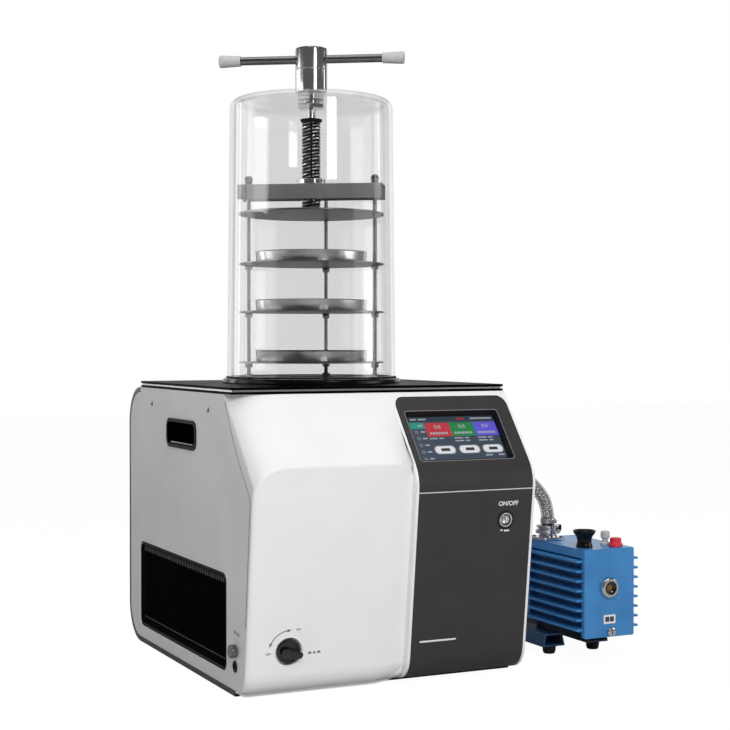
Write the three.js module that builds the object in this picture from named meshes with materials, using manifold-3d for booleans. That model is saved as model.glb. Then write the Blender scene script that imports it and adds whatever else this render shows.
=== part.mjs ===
// A bench-top freeze dryer with a clear drying chamber, a stoppering press and its own vacuum pump.
// Millimetres. X runs to the right, Y to the back and Z up. The origin is on the bench, under the
// middle of the cabinet's top, and the front of the cabinet faces -Y.
import * as THREE from 'three';
import { mergeVertices } from 'three/addons/utils/BufferGeometryUtils.js';
import Module from 'manifold-3d';

const wasm = await Module();
wasm.setup();

// ---- driving dimensions --------------------------------------------------------------------------
const GAP = 0.3; // air between pieces that touch
const SIDE_X = 225; // half the cabinet's width
const SHEET = 2.5; // sheet steel of the cabinet
const WALL = 3; // wall of the moulded front
const BODY_TOP = 428; // top edge of the cabinet's walls
const REAR_Y = 280.5; // back of the cabinet
const REAR_R = 60; // its rounded rear corners
const REAR_BAND = 8; // black edge that frames each side panel
const PANEL_FOOT_Z = 8.3; // lower edge of the side panels, above the black skirt

const PLATE_Y = 216.5; // half the depth of the top plates
const PLATE_LEVELS = [428.3, 431.3, 434.9, 438.4]; // lower plate, strip, upper plate, top
const TRAP_HOLE_R = 109;

const KNEE = [-311, 309, 55]; // where the sloping and the leaning front meet: y, z, radius
const TOE = [-275.5, 6, 38]; // front corner at the bottom
const CREASE = [-308.4, 329.5, 2]; // the same two corners on the plain left part of the front
const LEFT_TOE = [-270.5, 6, 34];
const FRONT_TOP = [-PLATE_Y, BODY_TOP, 0];
const SEAM = [[-184.5, BODY_TOP, 0], [-235.5, 345, 80], [-291, 286, 14], [-262, PANEL_FOOT_Z, 20]];
const SLOPE_SOFT = { left: [50, 28], right: [26, 8] }; // width and depth of its soft corners
const FACE_SOFT = { left: [14, 7], right: [32, 12] };
const FRAME_X = 24.5; // left side of the frame round the dark fascia
const FASCIA = { left: 29, right: 221, top: 421.5, split: 285, radius: 15, thick: 3 };
const DISPLAY = { x: 119, z: 365, wide: 158, high: 90, sunk: 14, thick: 8 };
const POWER = { x: 177, z: 239, ring: 11, button: 7.5, travel: 2.5 };
const DRAIN = { x: -162.5, z: 67.5, recess: 20, knob: 16.5, stands: 15 };

const VENT = { y0: -195.5, y1: 219.5, z0: 28, z1: 170, radius: 14 };
const CUP = { y0: -63.5, y1: 71.5, z0: 341, z1: 380.5, radius: 12, hole: 5, deep: 32 };
const AERATION = { y: -236, z: 66, knob: 9.5, stands: 11, outletY: -231, outletZ: 43 };

const CHAMBER_X = -6; // axis of the drying chamber, a little left of the cabinet's middle
const RING_R = 143; // foot ring of the drying chamber
const RING_TOP = 446;
const COVER_FOOT_R = 135.5; // clear cover, outside
const COVER_TOP_R = 131;
const COVER_WALL = 6;
const COVER_TOP = 892;
const RACK_TURN = -33; // degrees from X to the line of the two side rods
const ROD_R = 3.25;
const ROD_REACH = 103; // side rods from the axis
const REAR_ROD = { reach: 105, turn: 86, top: 748 };
const SHELF_R = 117;
const SHELF_THICK = 2;
const SHELF_TOPS = [630, 553, 472];
const TRAY = { radius: 90, high: 18, wall: 1.2 };
const BAR = { z0: 733, z1: 757, long: 235, wide: 44, wall: 2 };
const PRESS = { z0: 707.5, thick: 3, collar: 19, collarTop: 718 };
const SCREW = { radius: 15.3, z0: 711, z1: 862, rim: 17.5, bore: 7.4 };
const SHAFT_R = 6.8;
const HUB = { radius: 26, z0: 898, seam: 941.5, z1: 976 };
const HANDLE = { z: 958, radius: 6.75, long: 301, capLong: 35 };

const PUMP_X = 388; // middle of the vacuum pump
const PUMP_FACE_Y = -266.5;
const PUMP = { wide: 93, z0: 40, z1: 179, core: 60, finReach: 58, fins: 8, finLow: 53.5, finPitch: 15.3 };
const MOTOR = { z: 104, radius: 50, y1: 128 };
const SIGHT = { x: 386, z: 118 };
const PUMP_BOX_END = -96;
const RAIL = { spots: [-46, 38], y0: -178, y1: 60, z0: 13, z1: 34 };
const INLET = { x: 362, y: -128, top: 205 };
const PORT = { y: -74, z: 295, reach: 240 };
const HOSE_D = 22;
const HOSE_ROUTE = [
  [362, -128, 205], [362, -128, 216], [361, -127, 227], [359, -126, 237], [356, -125, 246],
  [351, -122, 255], [344, -118, 265], [336, -114, 274], [327, -108, 282], [317, -102, 288],
  [305, -95, 292], [293, -88, 294], [281, -81, 295], [268, -76, 295], [252, -74, 295], [240, -74, 295],
];

// ---- finishes ------------------------------------------------------------------------------------
function finish(color, roughness, metalness, opacity = 1) {
  return new THREE.MeshStandardMaterial({ color, roughness, metalness, opacity, transparent: opacity < 1 });
}
const WHITE_PAINT = ['#e9e7e8', 0.35, 0];
const GREY_PAINT = ['#b2aeaf', 0.5, 0];
const BLACK_PAINT = ['#151314', 0.4, 0];
const BLACK_GLASS = ['#0b0a0b', 0.08, 0];
const FASCIA_GREY = ['#3f3b3c', 0.5, 0];
const BLACK_PLASTIC = ['#161415', 0.55, 0];
const PALE_PLASTIC = ['#c9c7c6', 0.5, 0];
const RUBBER = ['#1b1b1b', 0.85, 0];
const STEEL = ['#c9cacc', 0.2, 1];
const CHROME = ['#e2e3e5', 0.08, 1];
const COPPER = ['#b3703f', 0.35, 1];
const ALUMINIUM = ['#b9bcc0', 0.4, 1];
const ACRYLIC = ['#f2f4f5', 0.03, 0, 0.25];
const PUMP_BLUE = ['#3f7fbd', 0.4, 0];
const RED_PLASTIC = ['#d8353f', 0.4, 0];
const SCREEN = ['#2f4450', 0.15, 0];
const CLEAR_HOSE = ['#d5d7d9', 0.2, 0, 0.6];

// ---- solids --------------------------------------------------------------------------------------
function volumeOf(position, index) {
  const [a, b, c] = [new THREE.Vector3(), new THREE.Vector3(), new THREE.Vector3()];
  let volume = 0;
  for (let i = 0; i < index.length; i += 3) {
    a.fromArray(position, index[i] * 3);
    b.fromArray(position, index[i + 1] * 3);
    c.fromArray(position, index[i + 2] * 3);
    volume += a.dot(b.cross(c)) / 6;
  }
  return volume;
}

// A three.js geometry as a solid that can be joined and cut, with its faces turned outwards.
function solidOf(geometry) {
  geometry.deleteAttribute('normal');
  geometry.deleteAttribute('uv');
  const welded = mergeVertices(geometry, 1e-4);
  const corners = welded.index.array;
  const kept = [];
  for (let i = 0; i < corners.length; i += 3) {
    const [a, b, c] = corners.subarray(i, i + 3);
    if (a !== b && b !== c && c !== a) kept.push(a, b, c);
  }
  const points = welded.attributes.position.array;
  if (volumeOf(points, kept) < 0) kept.reverse();
  const vertProperties = Float32Array.from(points);
  const triVerts = Uint32Array.from(kept);
  return new wasm.Manifold(new wasm.Mesh({ numProp: 3, vertProperties, triVerts }));
}

function geometryOf(solid) {
  const mesh = solid.getMesh();
  const geometry = new THREE.BufferGeometry();
  geometry.setAttribute('position', new THREE.BufferAttribute(mesh.vertProperties, 3));
  geometry.setIndex(new THREE.BufferAttribute(mesh.triVerts, 1));
  return geometry;
}

const join = (first, ...others) => others.reduce((all, one) => all.add(one), first);
const cut = (first, ...others) => others.reduce((all, one) => all.subtract(one), first);
const common = (first, ...others) => others.reduce((all, one) => all.intersect(one), first);

// Corners [x, y, radius] as a closed outline, each radius an arc that touches both of its edges.
function rounded(corners, stepsPerQuarter = 6) {
  const points = [];
  corners.forEach(([x, y, radius = 0], i) => {
    const corner = new THREE.Vector2(x, y);
    const before = new THREE.Vector2(...corners.at(i - 1).slice(0, 2)).sub(corner).normalize();
    const after = new THREE.Vector2(...corners[(i + 1) % corners.length].slice(0, 2)).sub(corner).normalize();
    if (!radius) {
      points.push(corner);
      return;
    }
    const half = Math.acos(before.dot(after)) / 2;
    const centre = before.clone().add(after).setLength(radius / Math.sin(half)).add(corner);
    const start = before.clone().multiplyScalar(radius / Math.tan(half)).add(corner).sub(centre);
    const sweep = (Math.PI - 2 * half) * Math.sign(after.cross(before));
    const steps = Math.max(2, Math.ceil((Math.abs(sweep) / (Math.PI / 2)) * stepsPerQuarter));
    for (let k = 0; k <= steps; k += 1) {
      const spoke = start.clone().rotateAround(new THREE.Vector2(), (sweep * k) / steps);
      points.push(spoke.add(centre));
    }
  });
  return points;
}

// The same corners moved inwards by a distance, for the inside of a wall.
function inset(corners, distance) {
  const flat = corners.map(([x, y]) => new THREE.Vector2(x, y));
  const turning = Math.sign(THREE.ShapeUtils.area(flat));
  return corners.map(([, , radius = 0], i) => {
    const here = flat[i];
    const into = here.clone().sub(flat.at(i - 1)).normalize();
    const out = flat[(i + 1) % flat.length].clone().sub(here).normalize();
    const normalIn = new THREE.Vector2(-into.y, into.x).multiplyScalar(turning);
    const normalOut = new THREE.Vector2(-out.y, out.x).multiplyScalar(turning);
    const shift = normalIn.clone().add(normalOut);
    shift.multiplyScalar(distance / (1 + normalIn.dot(normalOut)));
    const convex = into.cross(out) * turning > 0;
    const moved = radius ? Math.max(0.2, convex ? radius - distance : radius + distance) : 0;
    return [here.x + shift.x, here.y + shift.y, moved];
  });
}

function extruded(points, holes, depth, basis) {
  const shape = new THREE.Shape(points);
  shape.holes = holes.map((hole) => new THREE.Path(hole));
  const geometry = new THREE.ExtrudeGeometry(shape, { depth, bevelEnabled: false, curveSegments: 1 });
  return solidOf(geometry.applyMatrix4(basis));
}

const AXIS = {
  x: new THREE.Vector3(1, 0, 0),
  y: new THREE.Vector3(0, 1, 0),
  z: new THREE.Vector3(0, 0, 1),
};
// An outline in (y, z) drawn out along X, in (x, z) along Y, and in (x, y) along Z.
function alongX(points, x0, x1, holes = []) {
  const basis = new THREE.Matrix4().makeBasis(AXIS.y, AXIS.z, AXIS.x).setPosition(x0, 0, 0);
  return extruded(points, holes, x1 - x0, basis);
}
function alongY(points, y0, y1, holes = []) {
  const basis = new THREE.Matrix4().makeBasis(AXIS.x, AXIS.z, AXIS.y.clone().negate()).setPosition(0, y1, 0);
  return extruded(points, holes, y1 - y0, basis);
}
function alongZ(points, z0, z1, holes = []) {
  return extruded(points, holes, z1 - z0, new THREE.Matrix4().setPosition(0, 0, z0));
}

function rectangle(x0, x1, y0, y1, radius = 0) {
  return rounded([[x0, y0, radius], [x1, y0, radius], [x1, y1, radius], [x0, y1, radius]]);
}
function disc(radius, x = 0, y = 0, sides = 24) {
  const point = (i) => new THREE.Vector2(radius, 0).rotateAround(new THREE.Vector2(), (2 * Math.PI * i) / sides);
  return Array.from({ length: sides }, (_, i) => point(i).add(new THREE.Vector2(x, y)));
}
function box(x0, x1, y0, y1, z0, z1) {
  return alongZ(rectangle(x0, x1, y0, y1), z0, z1);
}

// A profile [radius, z] turned about the upright line through (x, y).
function turned(profile, sides = 24, x = 0, y = 0) {
  const points = profile.map(([radius, z]) => new THREE.Vector2(radius, z));
  const geometry = new THREE.LatheGeometry(points, sides).rotateX(Math.PI / 2).translate(x, y, 0);
  return solidOf(geometry);
}
function tubeProfile(inner, outer, z0, z1) {
  return [[inner, z0], [outer, z0], [outer, z1], [inner, z1], [inner, z0]];
}

function piped(route, radius, sides, steps) {
  const extrudePath = new THREE.CatmullRomCurve3(route.map((point) => new THREE.Vector3(...point)));
  const shape = new THREE.Shape(disc(radius, 0, 0, sides));
  return solidOf(new THREE.ExtrudeGeometry(shape, { steps, extrudePath, bevelEnabled: false }));
}

// A solid drawn about the local origin, moved by a matrix.
function placed(solid, matrix) {
  return solidOf(geometryOf(solid).applyMatrix4(matrix));
}

// ---- the assembly --------------------------------------------------------------------------------
const dryer = new THREE.Group();
function add(name, solid, look, parent = dryer) {
  const mesh = new THREE.Mesh(geometryOf(solid), finish(...look));
  mesh.name = name;
  parent.add(mesh);
}

const chamber = new THREE.Group();
chamber.position.x = CHAMBER_X;
dryer.add(chamber);

// Local frames on the two planes of the front: X across, Z up the plane and -Y out of it.
function frontPlane(upper, lower, x, z) {
  const slope = (upper[0] - lower[0]) / (upper[1] - lower[1]);
  const frame = new THREE.Group();
  frame.position.set(x, lower[0] + slope * (z - lower[1]), z);
  frame.rotation.x = -Math.atan(slope);
  frame.updateMatrixWorld();
  dryer.add(frame);
  return frame;
}
const displayPlane = frontPlane(FRONT_TOP, KNEE, DISPLAY.x, DISPLAY.z);
const powerPlane = frontPlane(KNEE, TOE, POWER.x, POWER.z);
const drainPlane = frontPlane(CREASE, LEFT_TOE, DRAIN.x, DRAIN.z);

// ---- cabinet -------------------------------------------------------------------------------------
function frontSection(knee, toe) {
  const seam = SEAM.map(([y, z, radius]) => [y - GAP, z === PANEL_FOOT_Z ? z - GAP : z, radius]);
  const flange = [[-232, toe[1], 0], [-232, PANEL_FOOT_Z - GAP, 0]];
  return rounded([FRONT_TOP, knee, toe, ...flange, ...seam.reverse()], 8);
}

function hollowSection(knee, toe, wall) {
  return rounded(inset([FRONT_TOP, knee, toe, [-100, toe[1], 0], [-100, BODY_TOP, 0]], wall), 8);
}

// A block's cross-section, open downwards, whose two upper corners are quarter ellipses.
function softTop(left, right, top, leftSoft, rightSoft) {
  const corner = (cx, [rx, ry], from) => Array.from({ length: 10 }, (_, i) => {
    const angle = from - (Math.PI / 2) * (i / 9);
    return new THREE.Vector2(cx + rx * Math.cos(angle), top - ry + ry * Math.sin(angle));
  });
  const leftCorner = corner(left + leftSoft[0], leftSoft, Math.PI);
  const rightCorner = corner(right - rightSoft[0], rightSoft, Math.PI / 2);
  return [new THREE.Vector2(left, -420), ...leftCorner, ...rightCorner, new THREE.Vector2(right, -420)];
}

// The left part of the front as two crossing prisms: one along its slope with a wide soft corner
// at the side, and one along its leaning face that rolls away beside the fascia frame.
function rolledCorners(wall) {
  const [left, right] = [-SIDE_X + wall, FRAME_X + 1];
  const prism = (section, upper, lower) => {
    const down = new THREE.Vector3(0, lower[0] - upper[0], lower[1] - upper[1]).normalize();
    const out = new THREE.Vector3(0, down.z, -down.y);
    const start = new THREE.Vector3(0, upper[0], upper[1]).addScaledVector(down, -250);
    const basis = new THREE.Matrix4().makeBasis(AXIS.x, out, down).setPosition(start);
    return extruded(section, [], 900, basis);
  };
  const slope = softTop(left, right, -wall, SLOPE_SOFT.left, SLOPE_SOFT.right);
  const face = softTop(left, right, -wall, FACE_SOFT.left, FACE_SOFT.right);
  return common(prism(slope, FRONT_TOP, CREASE), prism(face, CREASE, LEFT_TOE));
}

function windowPrism(gap) {
  const { left, right, top, radius } = FASCIA;
  const corners = [[left, -20, 0], [right, -20, 0], [right, top, radius], [left, top, radius]];
  const behind = box(left - 1, right + 1, -238 - gap, -140, -30, 60);
  return cut(alongY(rounded(inset(corners, gap)), -340, -150), behind);
}

function drainRecess() {
  const bore = alongY(disc(DRAIN.recess), -8, 4);
  const shaftHole = alongY(disc(6.5, 0, 0, 20), -1, 12);
  return placed(join(bore, shaftHole), drainPlane.matrixWorld);
}

function frontMoulding() {
  const leftBlock = alongX(frontSection(CREASE, LEFT_TOE), -SIDE_X, FRAME_X + 1);
  const left = common(leftBlock, rolledCorners(0));
  const frame = alongX(frontSection(KNEE, TOE), FRAME_X, SIDE_X);
  const leftHollow = alongX(hollowSection(CREASE, LEFT_TOE, WALL), -SIDE_X + WALL, 6);
  const ribHollow = alongX(hollowSection(CREASE, LEFT_TOE, 17), 5, FASCIA.left + 1);
  const frameHollow = alongX(hollowSection(KNEE, TOE, WALL), FASCIA.left, SIDE_X - WALL);
  const drainBoss = placed(alongY(disc(DRAIN.recess + 3), 1, 8), drainPlane.matrixWorld);
  const shell = cut(
    join(left, frame),
    common(leftHollow, rolledCorners(WALL)),
    ribHollow,
    frameHollow,
    windowPrism(0),
  );
  return cut(join(shell, drainBoss), drainRecess());
}

function fasciaSkin() {
  const outer = alongX(frontSection(KNEE, TOE), FASCIA.left + GAP, FASCIA.right - GAP);
  const inner = alongX(hollowSection(KNEE, TOE, FASCIA.thick), FASCIA.left, FASCIA.right);
  return common(cut(outer, inner), windowPrism(GAP));
}

function displayFascia() {
  const { wide, high, sunk, thick } = DISPLAY;
  const pocket = rectangle(-wide / 2, wide / 2, -high / 2, high / 2, 5);
  const rim = rectangle(-wide / 2 - WALL, wide / 2 + WALL, -high / 2 - WALL, high / 2 + WALL, 8);
  const tray = placed(alongY(rim, 1, sunk + thick), displayPlane.matrixWorld);
  const hole = placed(alongY(pocket, -60, sunk + thick + 1), displayPlane.matrixWorld);
  const above = box(FASCIA.left, FASCIA.right, -340, -150, FASCIA.split + 1, BODY_TOP);
  return cut(join(common(fasciaSkin(), above), tray), hole);
}

function lowerFascia() {
  const below = box(FASCIA.left, FASCIA.right, -340, -150, -20, FASCIA.split - 1);
  const hole = placed(alongY(disc(POWER.ring + GAP), -10, 20), powerPlane.matrixWorld);
  return cut(common(fasciaSkin(), below), hole);
}

function fasciaDivider() {
  const { left, right, split } = FASCIA;
  return common(fasciaSkin(), box(left, right, -340, -150, split - 0.7, split + 0.7));
}

function sidePanel(x0, holes) {
  const back = REAR_Y - REAR_BAND - GAP;
  const radius = REAR_R - REAR_BAND;
  const high = BODY_TOP - REAR_BAND - GAP;
  const outline = rounded([
    ...SEAM, [back, PANEL_FOOT_Z, radius],
    [back, high, radius], [PLATE_Y, high, 0], [PLATE_Y, BODY_TOP, 0],
  ], 8);
  return alongX(outline, x0, x0 + SHEET, holes);
}

function rearCover() {
  const bend = [[REAR_Y, BODY_TOP, REAR_R], [REAR_Y, 0, REAR_R]];
  const corners = [[PLATE_Y + GAP, BODY_TOP, 0], ...bend, [PLATE_Y + GAP, 0, 0]];
  const extended = [[100, BODY_TOP, 0], ...bend, [100, 0, 0]];
  const block = rounded(corners, 8);
  const sheet = alongX(rounded(inset(extended, SHEET), 8), -SIDE_X, SIDE_X);
  const lip = alongX(rounded(inset(extended, REAR_BAND), 8), -SIDE_X - 1, SIDE_X + 1);
  const middle = cut(alongX(block, -SIDE_X + SHEET, SIDE_X - SHEET), sheet);
  const edges = [-SIDE_X, SIDE_X - SHEET].map((x) => cut(alongX(block, x, x + SHEET), lip));
  const slots = [];
  for (let row = 0; row < 8; row += 1) {
    for (const x of [-150, 10]) {
      const z = 90 + row * 14;
      slots.push(box(x, x + 140, REAR_Y - 10, REAR_Y + 1, z, z + 6));
    }
  }
  return cut(join(middle, ...edges), ...slots);
}

function basePan() {
  const top = PANEL_FOOT_Z - GAP;
  const tray = box(-SIDE_X, SIDE_X, -231, PLATE_Y, 0, top);
  return cut(tray, box(-SIDE_X + 3, SIDE_X - 3, -228, PLATE_Y - 3, 3, top + 1));
}

function ventGrille() {
  const { y0, y1, z0, z1, radius } = VENT;
  const face = rectangle(y0 + 1.5, y1 - 1.5, z0 + 1.5, z1 - 1.5, radius - 1);
  const flange = rectangle(y0 - 8, y1 + 8, z0 - 8, z1 + 8, radius + 6);
  const front = alongX(face, -SIDE_X + 1, -SIDE_X + 3);
  const back = alongX(flange, -SIDE_X + SHEET + GAP, -SIDE_X + SHEET + 2);
  const slots = [];
  const pitch = (y1 - y0 - 40) / 18;
  for (let column = 0; column < 18; column += 1) {
    for (const z of [z0 + 18, (z0 + z1) / 2 + 3]) {
      const y = y0 + 20 + column * pitch;
      const slot = rectangle(y + 3, y + pitch - 3, z, z + (z1 - z0) / 2 - 21);
      slots.push(alongX(slot, -SIDE_X - 1, -SIDE_X + 8));
    }
  }
  return cut(join(front, back), ...slots);
}

function handleCup(side) {
  const { y0, y1, z0, z1, radius, deep } = CUP;
  const ring = (extra, x0, x1) => {
    const outline = rectangle(y0 + extra, y1 - extra, z0 + extra, z1 - extra, radius - extra);
    return alongX(outline, Math.min(side * x0, side * x1), Math.max(side * x0, side * x1));
  };
  const body = ring(GAP, SIDE_X - deep, SIDE_X - 0.4);
  const flange = ring(-6, SIDE_X - SHEET - GAP - 2, SIDE_X - SHEET - GAP);
  const throat = ring(GAP, SIDE_X - 1, SIDE_X + GAP + 1);
  const rim = ring(-3, SIDE_X + GAP, SIDE_X + GAP + 1.5);
  return cut(join(body, flange, throat, rim), ring(2.5, SIDE_X - deep + 2.5, SIDE_X + 3));
}

function cabinet() {
  const { y0, y1, z0, z1, radius } = VENT;
  const ventHole = rectangle(y0, y1, z0, z1, radius);
  const cupHole = rectangle(CUP.y0, CUP.y1, CUP.z0, CUP.z1, CUP.hole);
  const knobHole = disc(4.5, AERATION.y, AERATION.z, 16);
  const outletHole = disc(7, AERATION.outletY, AERATION.outletZ, 20);
  const portHole = disc(15, PORT.y, PORT.z, 24);
  add('base_pan', basePan(), BLACK_PAINT);
  add('left_side_panel', sidePanel(-SIDE_X, [ventHole, cupHole, knobHole, outletHole]), GREY_PAINT);
  add('right_side_panel', sidePanel(SIDE_X - SHEET, [cupHole, portHole]), GREY_PAINT);
  add('rear_cover', rearCover(), BLACK_PAINT);
  add('front_moulding', frontMoulding(), WHITE_PAINT);
  add('display_fascia', displayFascia(), FASCIA_GREY);
  add('lower_fascia', lowerFascia(), FASCIA_GREY);
  add('fascia_divider', fasciaDivider(), WHITE_PAINT);
  add('left_vent_grille', ventGrille(), BLACK_PLASTIC);
  add('left_handle_cup', handleCup(-1), BLACK_PLASTIC);
  add('right_handle_cup', handleCup(1), BLACK_PLASTIC);
}

// ---- controls ------------------------------------------------------------------------------------
function drainKnob() {
  const grip = alongY(disc(DRAIN.knob), -DRAIN.stands, 1.5);
  const skirt = alongY(disc(DRAIN.knob + 1.5), -4, 2.5);
  const lever = alongY(rounded([[0, -9, 2], [21, -7, 3], [21, 1, 3], [0, 9, 2]]), -DRAIN.stands - 3, -5);
  const stem = alongY(disc(4, 0, 0, 16), 2, 18);
  return join(grip, skirt, lever, stem);
}

function drainValve() {
  const body = cut(alongY(disc(13, 0, 0, 20), 12.5, 40), alongY(disc(4.3, 0, 0, 16), 0, 20));
  const world = placed(body, drainPlane.matrixWorld);
  const pipe = piped([[-160, -245, 72], [-156, -225, 80], [-150, -205, 120], [-110, -150, 190],
    [-60, -70, 225], [-45, -45, 266]], 6, 8, 14);
  return join(world, pipe);
}

function controls() {
  const { wide, high, sunk, thick } = DISPLAY;
  const glass = rectangle(GAP - wide / 2, wide / 2 - GAP, GAP - high / 2, high / 2 - GAP, 4.7);
  add('display_module', alongY(glass, sunk, sunk + thick), SCREEN, displayPlane);

  const ringFlange = alongY(disc(POWER.ring), -1, FASCIA.thick + 1);
  const ringBody = alongY(disc(POWER.ring - 1), -1, 26);
  const bore = alongY(disc(POWER.button + GAP), -3, 22);
  const nut = alongY(disc(POWER.ring + 4, 0, 0, 6), FASCIA.thick + GAP, FASCIA.thick + 4);
  add('power_button_bezel', cut(join(ringFlange, ringBody, nut), bore), CHROME, powerPlane);
  const cap = alongY(disc(POWER.button), -0.6, 15);
  add('power_button', cap, CHROME, powerPlane);

  add('drain_knob', drainKnob(), BLACK_PLASTIC, drainPlane);
  add('drain_valve', drainValve(), STEEL);

  const { y, z, knob, stands, outletY, outletZ } = AERATION;
  const inside = -SIDE_X + SHEET + GAP;
  const block = alongX(rectangle(y - 22, y + 12, outletZ - 12, z + 12, 3), inside, inside + 22);
  const stemHole = alongX(disc(3.4, y, z, 16), inside - 1, inside + 14);
  const outlet = alongX(disc(6.5, outletY, outletZ, 16), inside - 1, inside + 18);
  add('aeration_valve', cut(block, stemHole, outlet), STEEL);
  const grip = alongX(disc(knob, y, z, 24), -SIDE_X - stands, -SIDE_X - 1.5);
  const stem = alongX(disc(3, y, z, 16), -SIDE_X - 2, inside + 10);
  add('aeration_knob', join(grip, stem), CHROME);
}

// ---- top plates ----------------------------------------------------------------------------------
function topPlates() {
  const [z0, z1, z2, z3] = PLATE_LEVELS;
  const plate = (low, high, trim) => {
    const outline = rectangle(-SIDE_X + trim, SIDE_X - trim, -PLATE_Y + trim, PLATE_Y - trim, 4);
    return alongZ(outline, low, high, [disc(TRAP_HOLE_R, CHAMBER_X, 0, 40)]);
  };
  add('top_plate_lower', plate(z0, z1, 0), BLACK_GLASS);
  add('top_plate_spacer', plate(z1 + GAP, z2 - GAP, 1.5), ALUMINIUM);
  add('top_plate_upper', plate(z2, z3, 0), BLACK_GLASS);
}

// ---- refrigeration -------------------------------------------------------------------------------
function trapCoil() {
  const [turns, stepsPerTurn, radius, pitch, low] = [5, 16, 115, 24, 286];
  const route = Array.from({ length: turns * stepsPerTurn + 1 }, (_, i) => {
    const angle = (2 * Math.PI * i) / stepsPerTurn;
    const climb = (pitch * i) / stepsPerTurn;
    return [radius * Math.cos(angle), radius * Math.sin(angle), low + climb];
  });
  return piped(route, 6, 5, turns * stepsPerTurn);
}

function condenser() {
  const [x0, x1, fanY, fanZ, fanR] = [-208, -182, 0, 104, 74];
  const block = box(x0, x1, -160, 160, 18, 190);
  const slots = [];
  for (let i = 0; i < 15; i += 1) {
    const y = -150 + i * 20.4;
    slots.push(box(x0 - 1, x1 - 6, y, y + 13, 24, 184));
  }
  const shroud = alongX(disc(fanR + 5, fanY, fanZ, 36), x1 - 1, x1 + 34, [disc(fanR + 2, fanY, fanZ, 36)]);
  const motor = alongX(disc(19, fanY, fanZ, 24), x1 - 1, x1 + 14);
  const foot = box(x0, x1 + 30, -60, 60, PANEL_FOOT_Z + 1, 24);
  return join(cut(block, ...slots), shroud, motor, foot);
}

function coolingFan() {
  const [y, z, x0] = [0, 104, -167.7];
  const hub = alongX(disc(20, y, z, 24), x0, x0 + 16);
  const blades = [];
  for (let i = 0; i < 5; i += 1) {
    const blade = box(-1.2, 1.2, -17, 17, 19.6, 71);
    const pitch = new THREE.Matrix4().makeRotationZ(0.6);
    const around = new THREE.Matrix4().makeRotationX((2 * Math.PI * i) / 5);
    const move = new THREE.Matrix4().makeTranslation(x0 + 8, y, z);
    blades.push(placed(blade, move.multiply(around).multiply(pitch)));
  }
  return join(hub, ...blades);
}

function compressor() {
  const [x, y] = [60, 110];
  const can = turned([[0, 24], [66, 24], [74, 40], [74, 110], [76, 112], [76, 120], [74, 122], [72, 150],
    [58, 182], [30, 196], [0, 199]], 24, x, y);
  const plate = box(x - 95, x + 95, y - 60, y + 60, 16, 20);
  const feet = [[-80, -45], [80, -45], [-80, 45], [80, 45]].map(([dx, dy]) => (
    turned([[0, PANEL_FOOT_Z + 1], [11, PANEL_FOOT_Z + 1], [11, 17], [0, 17]], 12, x + dx, y + dy)));
  const neck = turned([[0, 19], [40, 19], [40, 30], [0, 30]], 24, x, y);
  return join(can, plate, neck, ...feet);
}

function refrigeration() {
  const [floor, lip] = [270, PLATE_LEVELS[3] + GAP];
  const bucket = turned([[0, floor], [103, floor], [106, floor + 3], [106, lip], [118, lip], [118, lip + 1.5],
    [104, lip + 1.5], [104, floor + 4], [102, floor + 2], [0, floor + 2]], 40);
  add('cold_trap', bucket, STEEL, chamber);
  add('trap_coil', trapCoil(), COPPER, chamber);
  add('compressor', compressor(), BLACK_PAINT);
  add('condenser', condenser(), ALUMINIUM);
  add('cooling_fan', coolingFan(), BLACK_PLASTIC);
  const ribs = Array.from({ length: 6 }, (_, i) => box(75 + i * 20, 79 + i * 20, -171, -160, 70, 230));
  const brackets = [70, 190].map((x) => box(x, x + 15, -230, -170, PANEL_FOOT_Z + 1, 62));
  add('control_box', join(box(60, 205, -235, -170, 60, 240), ...ribs, ...brackets), PALE_PLASTIC);
}

// ---- drying chamber ------------------------------------------------------------------------------
function chamberShell() {
  const foot = PLATE_LEVELS[3] + GAP;
  const ring = turned([[105, RING_TOP], [105, foot + 1.8 + GAP], [118 + GAP, foot + 1.8 + GAP],
    [118 + GAP, foot], [RING_R, foot], [RING_R, RING_TOP - 2], [RING_R - 2, RING_TOP], [105, RING_TOP]], 40);
  add('chamber_base_ring', ring, BLACK_GLASS, chamber);
  const gasketTop = RING_TOP + 3;
  const gasket = tubeProfile(COVER_FOOT_R - 9, COVER_FOOT_R + 1.5, RING_TOP + GAP, gasketTop);
  add('chamber_gasket', turned(gasket, 40), RUBBER, chamber);
  const [foot0, top] = [gasketTop + GAP, COVER_TOP];
  const shell = turned([[14, top], [COVER_TOP_R - 10, top], [COVER_TOP_R - 3.2, top - 2.4],
    [COVER_TOP_R, top - 9], [COVER_FOOT_R, foot0], [COVER_FOOT_R - COVER_WALL, foot0],
    [COVER_TOP_R - COVER_WALL, top - 12], [COVER_TOP_R - COVER_WALL - 4, top - COVER_WALL],
    [14, top - COVER_WALL], [14, top]], 40);
  add('clear_cover', shell, ACRYLIC, chamber);
}

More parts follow.
